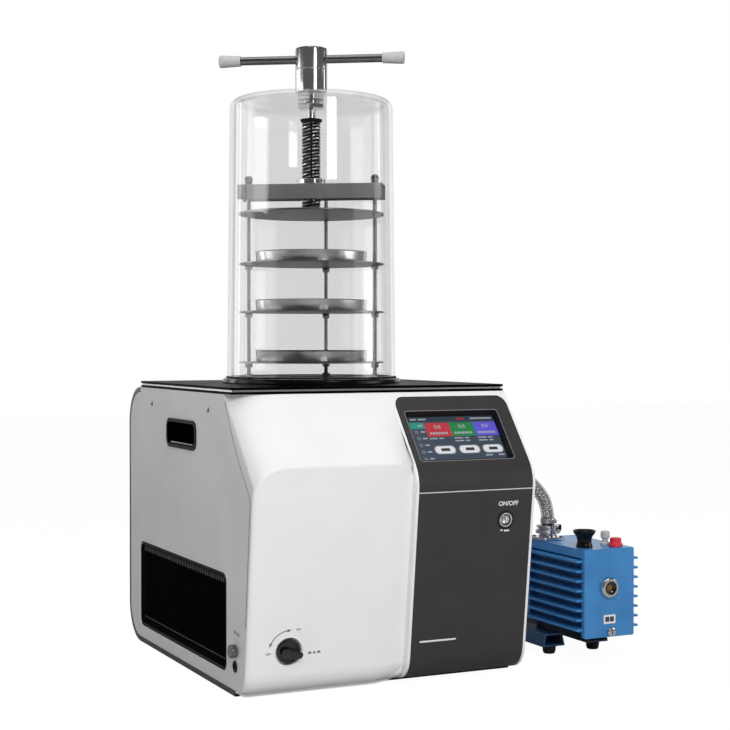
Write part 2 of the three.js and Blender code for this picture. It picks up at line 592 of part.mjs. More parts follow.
function pressHead() {
  const gland0 = COVER_TOP - COVER_WALL - 7;
  const bore = SHAFT_R + 0.4;
  const hex = alongZ(disc(23.1, 0, 0, 6), COVER_TOP + GAP, HUB.z0 - GAP);
  const below = alongZ(disc(23.1, 0, 0, 6), gland0, COVER_TOP - COVER_WALL - GAP);
  const neck = alongZ(disc(13.6), gland0 + 1, HUB.z0 - GAP);
  const gland = cut(join(hex, below, neck), alongZ(disc(bore), gland0 - 1, HUB.z0 + 1));
  add('shaft_gland', gland, STEEL, chamber);
  const collar = turned([[bore, HUB.z0], [20, HUB.z0], [23, HUB.z0 + 1], [25.5, HUB.z0 + 6],
    [HUB.radius, HUB.z0 + 9], [HUB.radius, HUB.seam - GAP], [bore, HUB.seam - GAP], [bore, HUB.z0]]);
  add('seal_collar', collar, CHROME, chamber);

  const turn = new THREE.Matrix4().makeRotationZ((RACK_TURN * Math.PI) / 180);
  const lift = new THREE.Matrix4().makeTranslation(0, 0, HANDLE.z);
  const barFrame = lift.multiply(turn);
  const head = turned([[0, HUB.seam], [HUB.radius, HUB.seam], [HUB.radius, HUB.z1 - 4],
    [HUB.radius - 4, HUB.z1], [0, HUB.z1]]);
  const shaft = turned([[0, 730], [SHAFT_R, 730], [SHAFT_R, HUB.seam + 1], [0, HUB.seam + 1]], 24);
  const key = box(-1.2, 1.2, SHAFT_R - 1, SHAFT_R + 1.4, 732, 855);
  const crossHole = placed(alongX(disc(HANDLE.radius + GAP, 0, 0, 24), -40, 40), barFrame);
  add('handle_hub', cut(join(head, shaft, key), crossHole), CHROME, chamber);
  const inner = HANDLE.long / 2 - 4;
  add('handle_bar', placed(alongX(disc(HANDLE.radius, 0, 0, 24), -inner, inner), barFrame), STEEL, chamber);
  const [open, end] = [HANDLE.long / 2 - HANDLE.capLong, HANDLE.long / 2];
  const cap = turned([[0, end], [8.5, end], [10, end - 2], [9.6, end - 12], [8.5, open + 1], [7.6, open],
    [HANDLE.radius + GAP, open], [HANDLE.radius + GAP, inner + GAP], [0, inner + GAP]], 24);
  for (const [name, angle] of [['bar_cap_left', -Math.PI / 2], ['bar_cap_right', Math.PI / 2]]) {
    const lay = new THREE.Matrix4().makeRotationY(angle);
    add(name, placed(cap, barFrame.clone().multiply(lay)), PALE_PLASTIC, chamber);
  }
}

const rackPoint = (reach, degrees) => {
  const angle = ((RACK_TURN + degrees) * Math.PI) / 180;
  return [reach * Math.cos(angle), reach * Math.sin(angle)];
};
const ROD_SPOTS = {
  rod_right: rackPoint(ROD_REACH, 0),
  rod_left: rackPoint(ROD_REACH, 180),
  rod_rear: rackPoint(REAR_ROD.reach, REAR_ROD.turn),
};

function rod(name) {
  const profile = [[0, RING_TOP + GAP], [7, RING_TOP + GAP], [7, RING_TOP + 6], [ROD_R, RING_TOP + 6]];
  for (const top of [...SHELF_TOPS].reverse()) {
    const under = top - SHELF_THICK - GAP;
    profile.push([ROD_R, under - 7], [6, under - 7], [6, under], [ROD_R, under]);
  }
  if (name === 'rod_rear') {
    profile.push([ROD_R, REAR_ROD.top - 6], [6, REAR_ROD.top - 6], [6, REAR_ROD.top], [0, REAR_ROD.top]);
  } else {
    const seat = BAR.z1 - BAR.wall - GAP;
    profile.push([ROD_R, seat - 5], [6, seat - 5], [6, seat], [ROD_R, seat], [ROD_R, BAR.z1 + GAP]);
    profile.push([5, BAR.z1 + GAP], [6, BAR.z1 + 4], [7, BAR.z1 + 9], [5, BAR.z1 + 14], [0, BAR.z1 + 16]);
  }
  return turned(profile, 12, ...ROD_SPOTS[name]);
}

function crossbar() {
  const { z0, z1, long, wide, wall } = BAR;
  const outer = box(-long / 2, long / 2, -wide / 2, wide / 2, z0, z1);
  const inner = box(-long / 2 - 1, long / 2 + 1, wall - wide / 2, wide / 2 - wall, z0 - 1, z1 - wall);
  const turn = new THREE.Matrix4().makeRotationZ((RACK_TURN * Math.PI) / 180);
  const channel = placed(cut(outer, inner), turn);
  const holes = [ROD_SPOTS.rod_left, ROD_SPOTS.rod_right].map(([x, y]) => (
    alongZ(disc(ROD_R + 0.35, x, y, 16), z0, z1 + 1)));
  return cut(channel, alongZ(disc(SCREW.radius + 0.5), z0, z1 + 1), ...holes);
}

function shelfPlate(z0, z1) {
  const rodHoles = Object.values(ROD_SPOTS).map(([x, y]) => disc(ROD_R + 0.5, x, y, 12));
  return alongZ(disc(SHELF_R, 0, 0, 40), z0, z1, rodHoles);
}

function rack() {
  const { radius, z0, z1, rim, bore } = SCREW;
  const keyway = box(-1.6, 1.6, 0, SHAFT_R + 1.9, z0 - 1, z1 + 1);
  const screw = turned([[bore, z0], [12, z0], [12, PRESS.collarTop + 1], [radius, PRESS.collarTop + 2],
    [radius, z1 - 5], [rim, z1 - 4], [rim, z1], [bore, z1], [bore, z0]]);
  add('press_screw', cut(screw, keyway), CHROME, chamber);
  add('screw_nut', turned(tubeProfile(radius + 0.5, 23, BAR.z1 + GAP, BAR.z1 + 8)), STEEL, chamber);
  add('crossbar', crossbar(), STEEL, chamber);
  const plate = shelfPlate(PRESS.z0, PRESS.z0 + PRESS.thick);
  const collar = turned(tubeProfile(12.3, PRESS.collar, PRESS.z0 + PRESS.thick - 0.5, PRESS.collarTop));
  add('press_plate', join(plate, collar), STEEL, chamber);
  for (const name of Object.keys(ROD_SPOTS)) {
    add(name, rod(name), STEEL, chamber);
  }
  SHELF_TOPS.forEach((top, i) => {
    add(`shelf_${i + 1}`, shelfPlate(top - SHELF_THICK, top), STEEL, chamber);
    const base = top + GAP;
    const { radius: outer, high, wall } = TRAY;
    const dish = turned([[0, base], [outer - 3, base], [outer - 1, base + 1.5], [outer, base + high - 2],
      [outer + 1, base + high], [outer - 0.4, base + high], [outer - wall - 0.4, base + high - 2],
      [outer - wall - 1.2, base + 2.4], [outer - 4, base + wall], [0, base + wall]], 32);
    add(`tray_${i + 1}`, dish, ALUMINIUM, chamber);
  });
}

// ---- vacuum pump ---------------------------------------------------------------------------------
function pumpOilBox() {
  const half = PUMP.wide / 2;
  const [left, right] = [PUMP_X - half, PUMP_X + half];
  const plate = alongY(rectangle(left, right, PUMP.z0, PUMP.z1, 3), PUMP_FACE_Y, PUMP_FACE_Y + 8);
  const back = PUMP_BOX_END;
  const core = box(PUMP_X - PUMP.core / 2, PUMP_X + PUMP.core / 2, PUMP_FACE_Y + 4, back, PUMP.z0 + 2, PUMP.z1 - 3);
  const lid = box(left, right, PUMP_FACE_Y + 4, back, PUMP.z1 - 14, PUMP.z1);
  const fins = Array.from({ length: PUMP.fins }, (_, i) => {
    const z = PUMP.finLow + i * PUMP.finPitch;
    const reach = PUMP.finReach;
    const blade = rectangle(PUMP_X - reach, PUMP_X + reach, z - 1.7, z + 1.7);
    return alongY(blade, PUMP_FACE_Y + 5, back - 4);
  });
  const sightHole = alongY(disc(11, SIGHT.x, SIGHT.z, 24), PUMP_FACE_Y - 1, PUMP_FACE_Y + 14);
  const drainHole = alongY(disc(4, PUMP_X + 2, 48, 16), PUMP_FACE_Y - 1, PUMP_FACE_Y + 14);
  return cut(join(plate, core, lid, ...fins), sightHole, drainHole);
}

function pumpMotor() {
  const y0 = PUMP_BOX_END + GAP;
  const { z, radius, y1 } = MOTOR;
  const gear = box(PUMP_X - 40, PUMP_X + 40, y0, y0 + 34, 44, 168);
  const barrel = alongY(disc(radius, PUMP_X, z, 36), y0 + 30, y1 - 30);
  const cowl = alongY(disc(radius + 4, PUMP_X, z, 36), y1 - 50, y1);
  const ribs = Array.from({ length: 16 }, (_, i) => {
    const rib = box(-1.4, 1.4, y0 + 40, y1 - 40, radius - 2, radius + 5);
    const turn = new THREE.Matrix4().makeRotationY((2 * Math.PI * i) / 16);
    return placed(rib, new THREE.Matrix4().makeTranslation(PUMP_X, 0, z).multiply(turn));
  });
  const [left, right, top] = [PUMP_X - 38, PUMP_X - 4, z + radius + 24];
  const terminals = box(left, right, y0 + 60, y0 + 140, z + 20, top);
  const socket = box(left - 1, left + 6, y0 + 82, y0 + 110, top - 26, top - 6);
  return cut(join(gear, barrel, cowl, ...ribs, terminals), socket);
}

function pumpBase() {
  const rails = RAIL.spots.map((spot) => {
    const x = PUMP_X + spot;
    const corners = [[x - 21, RAIL.z0, 1], [x + 21, RAIL.z0, 1], [x + 16, RAIL.z1, 3], [x - 16, RAIL.z1, 3]];
    return alongY(rounded(corners, 3), RAIL.y0, RAIL.y1, [rounded(inset(corners, 3), 3)]);
  });
  const cross = [-120, 20].map((y) => box(PUMP_X - 40, PUMP_X + 40, y, y + 26, RAIL.z1 - 3, RAIL.z1));
  const saddles = [-120, 20].map((y) => (
    box(PUMP_X - 26, PUMP_X + 26, y, y + 26, RAIL.z1 - 1, y < 0 ? PUMP.z0 + 2 - GAP : MOTOR.z - MOTOR.radius - 5.5)));
  const feet = [RAIL.y0 + 14, RAIL.y1 - 20].flatMap((y) => RAIL.spots.map((spot) => (
    turned([[0, 0], [7.5, 0], [9.5, 3], [10.5, RAIL.z0 + 1], [0, RAIL.z0 + 1]], 16, PUMP_X + spot, y))));
  return join(...rails, ...cross, ...saddles, ...feet);
}

function pumpFittings() {
  const top = PUMP.z1 + GAP;
  const face = PUMP_FACE_Y;
  const sight = alongY(disc(16, SIGHT.x, SIGHT.z, 24), face - 8, face - GAP);
  const stub = alongY(disc(10.5, SIGHT.x, SIGHT.z, 24), face - 1, face + 10);
  const eye = alongY(disc(9.5, SIGHT.x, SIGHT.z, 24), face - 9, face + 4);
  add('sight_glass', cut(join(sight, stub), eye), CHROME);
  const head = alongY(disc(7.5, PUMP_X + 2, 48, 20), face - 5, face - GAP);
  add('drain_plug', join(head, alongY(disc(3.7, PUMP_X + 2, 48, 16), face - 1, face + 10)), STEEL);
  const spout = turned([[0, top], [13, top], [13, top + 3], [11, top + 8], [12, top + 16], [17, top + 24],
    [18, top + 27], [15, top + 26], [9, top + 16], [8.5, top + 6], [0, top + 6]], 24, 362, -235);
  add('exhaust_spout', spout, BLACK_PLASTIC);
  const ballast = turned([[0, top], [8, top], [8, top + 3], [4.5, top + 5], [4.5, top + 9], [6.5, top + 11],
    [6, top + 21], [0, top + 22]], 20, 410, -222.7);
  add('ballast_valve', ballast, PALE_PLASTIC);
  const cap = turned([[0, top], [11, top], [11, top + 6], [8.6, top + 7], [8.4, top + 13], [7, top + 14],
    [0, top + 14]], 24, 411.7, -249.1);
  add('oil_cap', cap, RED_PLASTIC);

  const inlet = turned([[0, top], [24, top], [24, top + 4], [14, top + 5], [14, top + 9], [20, top + 11],
    [20, top + 16], [15, top + 17], [15, top + 18], [19, top + 20], [19, top + 23], [12, top + 24],
    [12, INLET.top - GAP], [0, INLET.top - GAP]], 24, INLET.x, INLET.y);
  const wing = box(INLET.x + 12, INLET.x + 23, INLET.y - 5, INLET.y + 5, top + 13, top + 24);
  add('inlet_port', join(inlet, wing), CHROME);
}

function hoseAndPort() {
  const { y, z, reach } = PORT;
  const flange = alongX(disc(21, y, z, 28), SIDE_X + GAP, SIDE_X + 5);
  const nozzle = alongX(disc(12, y, z, 24), SIDE_X, reach - GAP);
  const lining = alongX(disc(14, y, z, 24), SIDE_X - 9, SIDE_X + 1);
  const bend = [[SIDE_X - 6, y, z], [195, y, z], [170, y + 3, z - 1], [150, y + 12, z - 4], [140, y + 24, z - 5]];
  const pipe = piped(bend, 8, 8, 12);
  add('side_port', join(flange, nozzle, lining, pipe), CHROME);
  add('vacuum_hose', piped(HOSE_ROUTE, HOSE_D / 2, 8, 32), CLEAR_HOSE);
}

function vacuumPump() {
  add('pump_oil_box', pumpOilBox(), PUMP_BLUE);
  add('pump_motor', pumpMotor(), PUMP_BLUE);
  add('pump_base', pumpBase(), PUMP_BLUE);
  pumpFittings();
  hoseAndPort();
}

cabinet();
controls();
topPlates();
refrigeration();
chamberShell();
pressHead();
rack();
vacuumPump();

export default dryer;
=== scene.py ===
"""Looks for the bench-top freeze dryer: cabinet, drying chamber, stoppering press and vacuum pump.

Sizes are in millimetres where a piece is drawn and become metres in its mesh. X runs right, Y back
and Z up, from a point on the bench under the middle of the cabinet's top.
"""
import math

import bmesh
import bpy
from mathutils import Matrix, Vector


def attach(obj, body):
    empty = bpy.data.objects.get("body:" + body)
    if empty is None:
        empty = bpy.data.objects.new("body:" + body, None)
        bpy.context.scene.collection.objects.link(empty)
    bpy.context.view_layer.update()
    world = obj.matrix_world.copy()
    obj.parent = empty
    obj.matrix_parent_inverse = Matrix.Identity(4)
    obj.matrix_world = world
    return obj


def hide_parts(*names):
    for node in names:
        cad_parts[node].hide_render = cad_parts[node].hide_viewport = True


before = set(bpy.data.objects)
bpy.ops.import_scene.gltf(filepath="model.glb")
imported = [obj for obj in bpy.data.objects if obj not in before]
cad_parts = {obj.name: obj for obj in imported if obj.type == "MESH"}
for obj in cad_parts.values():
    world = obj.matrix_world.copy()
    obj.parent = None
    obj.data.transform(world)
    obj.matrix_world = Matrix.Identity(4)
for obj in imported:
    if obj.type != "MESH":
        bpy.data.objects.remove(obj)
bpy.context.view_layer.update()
MM = 0.001

# ---- Camera ---------------------------------------------------------------------------------------
# A long lens, level with the middle of the machine. It stands in front and to the left, and is turned
# a little to the right.
camera = bpy.data.objects.new("camera", bpy.data.cameras.new("camera"))
bpy.context.scene.collection.objects.link(camera)
camera.location = (-0.986, -2.2455, 0.502)
camera.rotation_euler = (math.radians(90 - 0.83), 0, math.radians(-25.6))
camera.data.lens = 74.8
camera.data.sensor_width = 36
camera.data.clip_start = 0.05
bpy.context.scene.camera = camera


# ---- Vacuum hose ----------------------------------------------------------------------------------
# Clear PVC hose with a steel wire coiled in its wall over a braid of finer ones. It is pushed over
# the nozzle on the cabinet's right side and over the pump's inlet flange.
def linear(colour):
    """A #rrggbb colour as the linear values that a shader takes."""
    channels = [int(colour[i:i + 2], 16) / 255 for i in (1, 3, 5)]
    return [*(c / 12.92 if c <= 0.04045 else ((c + 0.055) / 1.055) ** 2.4 for c in channels), 1.0]


def node(tree, kind, inputs=None, **settings):
    """Adds one node with its settings; an input is a value or another node's output."""
    made = tree.nodes.new(kind)
    for setting, value in settings.items():
        setattr(made, setting, value)
    for socket, value in (inputs or {}).items():
        if isinstance(value, bpy.types.NodeSocket):
            tree.links.new(value, made.inputs[socket])
        else:
            made.inputs[socket].default_value = value
    return made


def shader_of(made):
    """The node that holds a material's surface values."""
    return made.node_tree.nodes["Principled BSDF"]


def finish(name, colour, roughness, metallic=0.0, **sockets):
    """A new material with the values of its shader that are the same all over."""
    made = bpy.data.materials.new(name)
    made.use_nodes = True
    made.diffuse_color = linear(colour)
    shader = shader_of(made)
    shader.inputs["Base Color"].default_value = linear(colour)
    shader.inputs["Roughness"].default_value = roughness
    shader.inputs["Metallic"].default_value = metallic
    for socket, value in sockets.items():
        shader.inputs[socket.replace("_", " ")].default_value = value
    return made


def speckle(made, size_mm, stretch=(1, 1, 1), detail=2.0):
    """Noise of a real grain size on the piece; a stretch below 1 draws it out along that axis."""
    tree = made.node_tree
    where = node(tree, "ShaderNodeTexCoord")
    scaled = node(tree, "ShaderNodeMapping", {"Vector": where.outputs["Object"], "Scale": stretch})
    noise = node(tree, "ShaderNodeTexNoise", {
        "Vector": scaled.outputs["Vector"], "Scale": 1 / (size_mm * MM), "Detail": detail})
    return noise.outputs["Fac"]


def grain(made, size_mm, depth_mm, stretch=(1, 1, 1), detail=2.0):
    """Raised grain of a real size and depth."""
    tree = made.node_tree
    bump = node(tree, "ShaderNodeBump", {
        "Height": speckle(made, size_mm, stretch, detail), "Strength": 1.0, "Distance": depth_mm * MM})
    tree.links.new(bump.outputs["Normal"], shader_of(made).inputs["Normal"])


def mottle(made, low, high, size_mm, stretch=(1, 1, 1), detail=3.0):
    """Roughness that wanders between two values, as handling and wiping leave it."""
    tree = made.node_tree
    spread = node(tree, "ShaderNodeMapRange", {
        "Value": speckle(made, size_mm, stretch, detail), "From Min": 0.3, "From Max": 0.7,
        "To Min": low, "To Max": high})
    tree.links.new(spread.outputs["Result"], shader_of(made).inputs["Roughness"])


def tint(made, dark, light, size_mm, stretch=(1, 1, 1), detail=3.0):
    """Colour that drifts softly between two shades."""
    tree = made.node_tree
    ramp = node(tree, "ShaderNodeValToRGB", {"Fac": speckle(made, size_mm, stretch, detail)})
    for stop, place, colour in zip(ramp.color_ramp.elements, (0.35, 0.65), (dark, light)):
        stop.position = place
        stop.color = linear(colour)
    tree.links.new(ramp.outputs["Color"], shader_of(made).inputs["Base Color"])


def see_through(made, clear, least, rise):
    """Lets light straight through a finish, tinted; it turns to the finish's own gloss at its edges."""
    tree = made.node_tree
    facing = node(tree, "ShaderNodeLayerWeight", {"Blend": 0.5})
    edge = node(tree, "ShaderNodeMath", {0: facing.outputs["Facing"], 1: rise}, operation="POWER")
    share = node(tree, "ShaderNodeMapRange", {"Value": edge.outputs[0], "To Min": least, "To Max": 1.0})
    window = node(tree, "ShaderNodeBsdfTransparent", {"Color": linear(clear)})
    mixed = node(tree, "ShaderNodeMixShader", {
        "Fac": share.outputs["Result"], 1: window.outputs["BSDF"], 2: shader_of(made).outputs["BSDF"]})
    tree.links.new(mixed.outputs["Shader"], tree.nodes["Material Output"].inputs["Surface"])


def keep(piece, body, slot, *replaced):
    """The piece rides on its body and stands for the solids it covers; its slot is not used."""
    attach(piece, body)
    if replaced:
        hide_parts(*replaced)
    return piece


def thing(name, data, look):
    """A new object at the origin that shows a mesh or curve in one material."""
    made = bpy.data.objects.new(name, data)
    made.data.materials.append(look)
    bpy.context.scene.collection.objects.link(made)
    return made


def smooth_route(route, steps):
    """Points along an even curve that keeps to a route, steps to each stretch, in metres."""
    first, final = Vector(route[0]), Vector(route[-1])
    ends = [2 * first - Vector(route[1]), *map(Vector, route), 2 * final - Vector(route[-2])]
    points = []
    for a, b, c, d in zip(ends, ends[1:], ends[2:], ends[3:]):
        for k in range(steps):
            t = k / steps
            points.append(MM / 6 * ((1 - t) ** 3 * a + (3 * t ** 3 - 6 * t ** 2 + 4) * b
                                    + (3 * t + 3 * t ** 2 - 3 * t ** 3 + 1) * c + t ** 3 * d))
    points.append(final * MM)
    return points


def line_curve(name, points, diameter_mm, look, sides=1):
    """A round wire or tube along points, as one open curve."""
    data = bpy.data.curves.new(name, "CURVE")
    data.dimensions = "3D"
    data.bevel_depth = diameter_mm / 2 * MM
    data.bevel_resolution = sides
    data.use_fill_caps = True
    spline = data.splines.new("POLY")
    spline.points.add(len(points) - 1)
    for point, place in zip(spline.points, points):
        point.co = (*place, 1)
    return thing(name, data, look)


def coil_round(line, radius_mm, pitch_mm, steps_per_turn, way=1, start=0.0):
    """A helix wound round a line, carried along without twisting."""
    helix, side, travelled = [], Vector((0, 1, 0)), 0.0
    for a, b in zip(line, line[1:]):
        along = (b - a).normalized()
        side = (side - side.dot(along) * along).normalized()
        other = along.cross(side)
        length = (b - a).length
        steps = max(1, round(length / (pitch_mm * MM) * steps_per_turn))
        for k in range(steps):
            turn = start + way * 2 * math.pi * (travelled + length * k / steps) / (pitch_mm * MM)
            out = math.cos(turn) * side + math.sin(turn) * other
            helix.append(a.lerp(b, k / steps) + radius_mm * MM * out)
        travelled += length
    return helix


HOSE_D = 22
HOSE_ROUTE = [
    (362, -128, 205), (362, -128, 216), (361, -127, 227), (359, -126, 237), (356, -125, 246),
    (351, -122, 255), (344, -118, 265), (336, -114, 274), (327, -108, 282), (317, -102, 288),
    (305, -95, 292), (293, -88, 294), (281, -81, 295), (268, -76, 295), (252, -74, 295), (240, -74, 295),
]
COIL_WIRE, COIL_RADIUS, COIL_PITCH = 1.7, HOSE_D / 2 - 2.2, 3.4
BRAID_WIRE, BRAID_RADIUS, BRAID_PITCH, BRAID_STRANDS = 1.2, HOSE_D / 2 - 3.6, 26, 4
# Clear PVC, extruded: a faint grey body and a wet gloss that grows towards its silhouette.
clear_pvc = finish("clear_pvc_hose", "#e4e6e7", 0.1, IOR=1.53)
grain(clear_pvc, 5, 0.15)
see_through(clear_pvc, "#eff0f1", 0.16, 3.0)
# Spring steel, drawn: a bright glint on each turn and crossing of the wires.
hose_wire_steel = finish("spring_steel_wire", "#8f9092", 0.2, 1.0)
mottle(hose_wire_steel, 0.12, 0.4, 5)

hose_line = smooth_route(HOSE_ROUTE, 3)
vacuum_hose_wall = line_curve("vacuum_hose_wall", hose_line, HOSE_D, clear_pvc, 6)
keep(vacuum_hose_wall, "cabinet", "clear_hose", "vacuum_hose")
hose_wires = [line_curve("hose_wire", coil_round(hose_line, COIL_RADIUS, COIL_PITCH, 12), COIL_WIRE,
                         hose_wire_steel)]
for strand in range(BRAID_STRANDS):
    for hand, way in (("left", 1), ("right", -1)):
        braid = coil_round(hose_line, BRAID_RADIUS, BRAID_PITCH, 16, way,
                           strand * 2 * math.pi / BRAID_STRANDS)
        hose_wires.append(line_curve(f"hose_braid_{strand}_{hand}", braid, BRAID_WIRE, hose_wire_steel))
for wire in hose_wires:
    keep(wire, "cabinet", "chrome")


# ---- Cabinet sheet metal --------------------------------------------------------------------------
# Folded steel sheet, powder coated: black for the base and the wrapped back, pale grey for the two
# sides. The sheets' cut edges are broken before coating.
def shade(made, crease=30.0, bevel=0.0):
    """Smooth shading with crisp edges past the crease angle, and a small round on them if asked."""
    made.data.shade_smooth()
    made.data.set_sharp_from_angle(angle=math.radians(crease))
    if bevel:
        edge = made.modifiers.new("broken_edges", "BEVEL")
        edge.width = bevel * MM
        edge.segments = 2
        edge.limit_method = "ANGLE"
        edge.angle_limit = math.radians(crease)
        edge.use_clamp_overlap = True
        edge.harden_normals = True
    weighted = made.modifiers.new("weighted_normals", "WEIGHTED_NORMAL")
    weighted.keep_sharp = True
    weighted.weight = 100
    return made


def dress(solid, name, look, body, slot, crease=30.0, bevel=0.0, under=None, left_out=None):
    """A clean copy of a solid with merged points, softened edges and smooth shading between them.

    Faces that look down may have a finish of their own, and faces that a finer piece covers go.
    """
    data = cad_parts[solid].data.copy()
    data.materials.clear()
    form = bmesh.new()
    form.from_mesh(data)
    bmesh.ops.remove_doubles(form, verts=form.verts, dist=0.01 * MM)
    if left_out:
        covered = [face for face in form.faces if left_out(face.calc_center_median() / MM, face.normal)]
        bmesh.ops.delete(form, geom=covered, context="FACES")
    bmesh.ops.dissolve_limit(form, angle_limit=math.radians(0.3), verts=form.verts, edges=form.edges)
    if not bevel:
        bmesh.ops.triangulate(form, faces=form.faces)
    if under:
        for face in form.faces:
            face.material_index = 1 if face.normal.z < -0.9 else 0
    form.to_mesh(data)
    form.free()
    made = thing(name, data, look)
    if under:
        data.materials.append(under)
    return keep(shade(made, crease, bevel), body, slot, solid)


# Powder coat, baked black: deep and even, and its pebble spreads every highlight.
black_powder_coat = finish("black_powder_coat", "#141314", 0.42, Coat_Weight=0.15)
grain(black_powder_coat, 0.9, 0.02)
# The same coat in pale grey. Its pebble is about 0.5 mm and is drawn a little coarser so that it shows.
grey_powder_coat = finish("pale_grey_powder_coat", "#ece9ea", 0.5)
grain(grey_powder_coat, 0.8, 0.025)
tint(grey_powder_coat, "#e9e5e6", "#efecec", 120)
dress("base_pan", "base_tray", black_powder_coat, "cabinet", "black_paint")
dress("rear_cover", "rear_wrap", black_powder_coat, "cabinet", "black_paint", bevel=0.5)
for side in ("left", "right"):
    dress(f"{side}_side_panel", f"{side}_side_sheet", grey_powder_coat, "cabinet", "grey_paint", bevel=0.4)


# ---- Panel screws ---------------------------------------------------------------------------------
# Zinc-plated M4 screws with a cross recess: pan heads on the side panels, flush ones in the rear
# cover.
def new_tree(name, **sizes):
    """An empty geometry tree with a named input for each size, and the node that hands them out."""
    tree = bpy.data.node_groups.new(name, "GeometryNodeTree")
    tree.interface.new_socket("Geometry", in_out="OUTPUT", socket_type="NodeSocketGeometry")
    for label, kind in sizes.items():
        tree.interface.new_socket(label, in_out="INPUT", socket_type=f"NodeSocket{kind}")
    return tree, tree.nodes.new("NodeGroupInput").outputs


def copies(tree, points, piece, look, **turn):
    """Ends a tree: a copy of the piece on each point, all of them one mesh in one material."""
    placed = node(tree, "GeometryNodeInstanceOnPoints", {"Points": points, "Instance": piece, **turn})
    real = node(tree, "GeometryNodeRealizeInstances", {"Geometry": placed.outputs["Instances"]})
    coated = node(tree, "GeometryNodeSetMaterial", {"Geometry": real.outputs[0], "Material": look})
    node(tree, "NodeGroupOutput", {"Geometry": coated.outputs[0]})
    return tree


def grow(name, tree, **sizes):
    """The plain mesh that a tree makes with these sizes."""
    host = bpy.data.objects.new(name, bpy.data.meshes.new(name))
    bpy.context.scene.collection.objects.link(host)
    maker = host.modifiers.new("maker", "NODES")
    maker.node_group = tree
    for item in tree.interface.items_tree:
        if item.in_out == "INPUT":
            maker[item.identifier] = sizes[item.name]
    seen = host.evaluated_get(bpy.context.evaluated_depsgraph_get())
    host.data = bpy.data.meshes.new_from_object(seen)
    host.modifiers.clear()
    return host


def metres(*values):
    """Millimetre values as metres."""
    return tuple(value * MM for value in values)


def screw_tree(look):
    """A straight row of cross-head screws: from Start, one at each Step, turned to face outwards."""
    tree, size = new_tree("cross_head_screws", Count="Int", Start="Vector", Step="Vector",
                          Facing="Vector", Radius="Float", Crown="Float")
    row = node(tree, "GeometryNodeMeshLine", {
        "Count": size["Count"], "Start Location": size["Start"], "Offset": size["Step"]}, mode="OFFSET")
    ball = node(tree, "GeometryNodeMeshUVSphere", {"Segments": 20, "Rings": 10, "Radius": size["Radius"]})
    squash = node(tree, "ShaderNodeCombineXYZ", {"X": 1.0, "Y": 1.0, "Z": size["Crown"]})
    crown = node(tree, "GeometryNodeTransform", {
        "Geometry": ball.outputs["Mesh"], "Scale": squash.outputs[0]})
    recess = node(tree, "GeometryNodeJoinGeometry")
    for slot_size in (metres(3.8, 0.9, 3), metres(0.9, 3.8, 3)):
        bar = node(tree, "GeometryNodeMeshCube", {"Size": slot_size})
        raised = node(tree, "GeometryNodeTransform", {
            "Geometry": bar.outputs["Mesh"], "Translation": metres(0, 0, 1.65)})
        tree.links.new(raised.outputs["Geometry"], recess.inputs[0])
    head = node(tree, "GeometryNodeMeshBoolean", {
        "Mesh 1": crown.outputs["Geometry"], "Mesh 2": recess.outputs[0]}, operation="DIFFERENCE")
    return copies(tree, row.outputs["Mesh"], head.outputs["Mesh"], look, Rotation=size["Facing"])


SIDE_X = 225
PANEL_SCREW_Y, PANEL_SCREW_Z = (-119.5, 152.5), 403
REAR_FACE_Y, REAR_SCREW_PITCH = 280.1, 185
FACE_LEFT, FACE_RIGHT, FACE_BACK = (0, -math.pi / 2, 0), (0, math.pi / 2, 0), (-math.pi / 2, 0, 0)
PAN_HEAD, FLUSH_HEAD = 0.5, 0.1
# Zinc plate, passivated dark: a small cold glint on each head.
zinc_plate = finish("dark_zinc_plate", "#7c7d80", 0.2, 1.0)
mottle(zinc_plate, 0.14, 0.32, 1.5)
screws = screw_tree(zinc_plate)
panel_step = (0, PANEL_SCREW_Y[1] - PANEL_SCREW_Y[0], 0)
for name, count, start, step, facing, crown in (
        ("left_panel_screws", 2, (-SIDE_X, PANEL_SCREW_Y[0], PANEL_SCREW_Z), panel_step, FACE_LEFT, PAN_HEAD),
        ("right_panel_screws", 2, (SIDE_X, PANEL_SCREW_Y[0], PANEL_SCREW_Z), panel_step, FACE_RIGHT,
         PAN_HEAD),
        ("rear_screws_upper", 3, (-REAR_SCREW_PITCH, REAR_FACE_Y, 340), (REAR_SCREW_PITCH, 0, 0), FACE_BACK,
         FLUSH_HEAD),
        ("rear_screws_lower", 3, (-REAR_SCREW_PITCH, REAR_FACE_Y, 70), (REAR_SCREW_PITCH, 0, 0), FACE_BACK,
         FLUSH_HEAD)):
    keep(grow(name, screws, Count=count, Start=metres(*start), Step=metres(*step), Facing=facing,
              Radius=4 * MM, Crown=crown), "cabinet", "chrome")


# ---- Handle cups ----------------------------------------------------------------------------------
# Black moulded nylon cups pressed into both side panels. A thin pale strip along the lower edge
# of each is a painted highlight, for the light that the lip catches.
def outline(wide, high, radius, x=0.0, y=0.0, steps=6):
    """Corner points of a rounded rectangle about a centre, anticlockwise."""
    points = []
    for corner, (sx, sy) in enumerate(((1, 1), (-1, 1), (-1, -1), (1, -1))):
        for k in range(steps + 1):
            angle = math.pi / 2 * (corner + k / steps)
            points.append((x + sx * (wide / 2 - radius) + radius * math.cos(angle),
                           y + sy * (high / 2 - radius) + radius * math.sin(angle)))
    return points


def plane_at(place, across, up):
    """A drawing plane in millimetres: X across, Y up, Z out of it."""
    across, up = Vector(across).normalized(), Vector(up).normalized()
    columns = Matrix((across, up, across.cross(up))).transposed()
    return Matrix.Translation(place) @ columns.to_4x4()


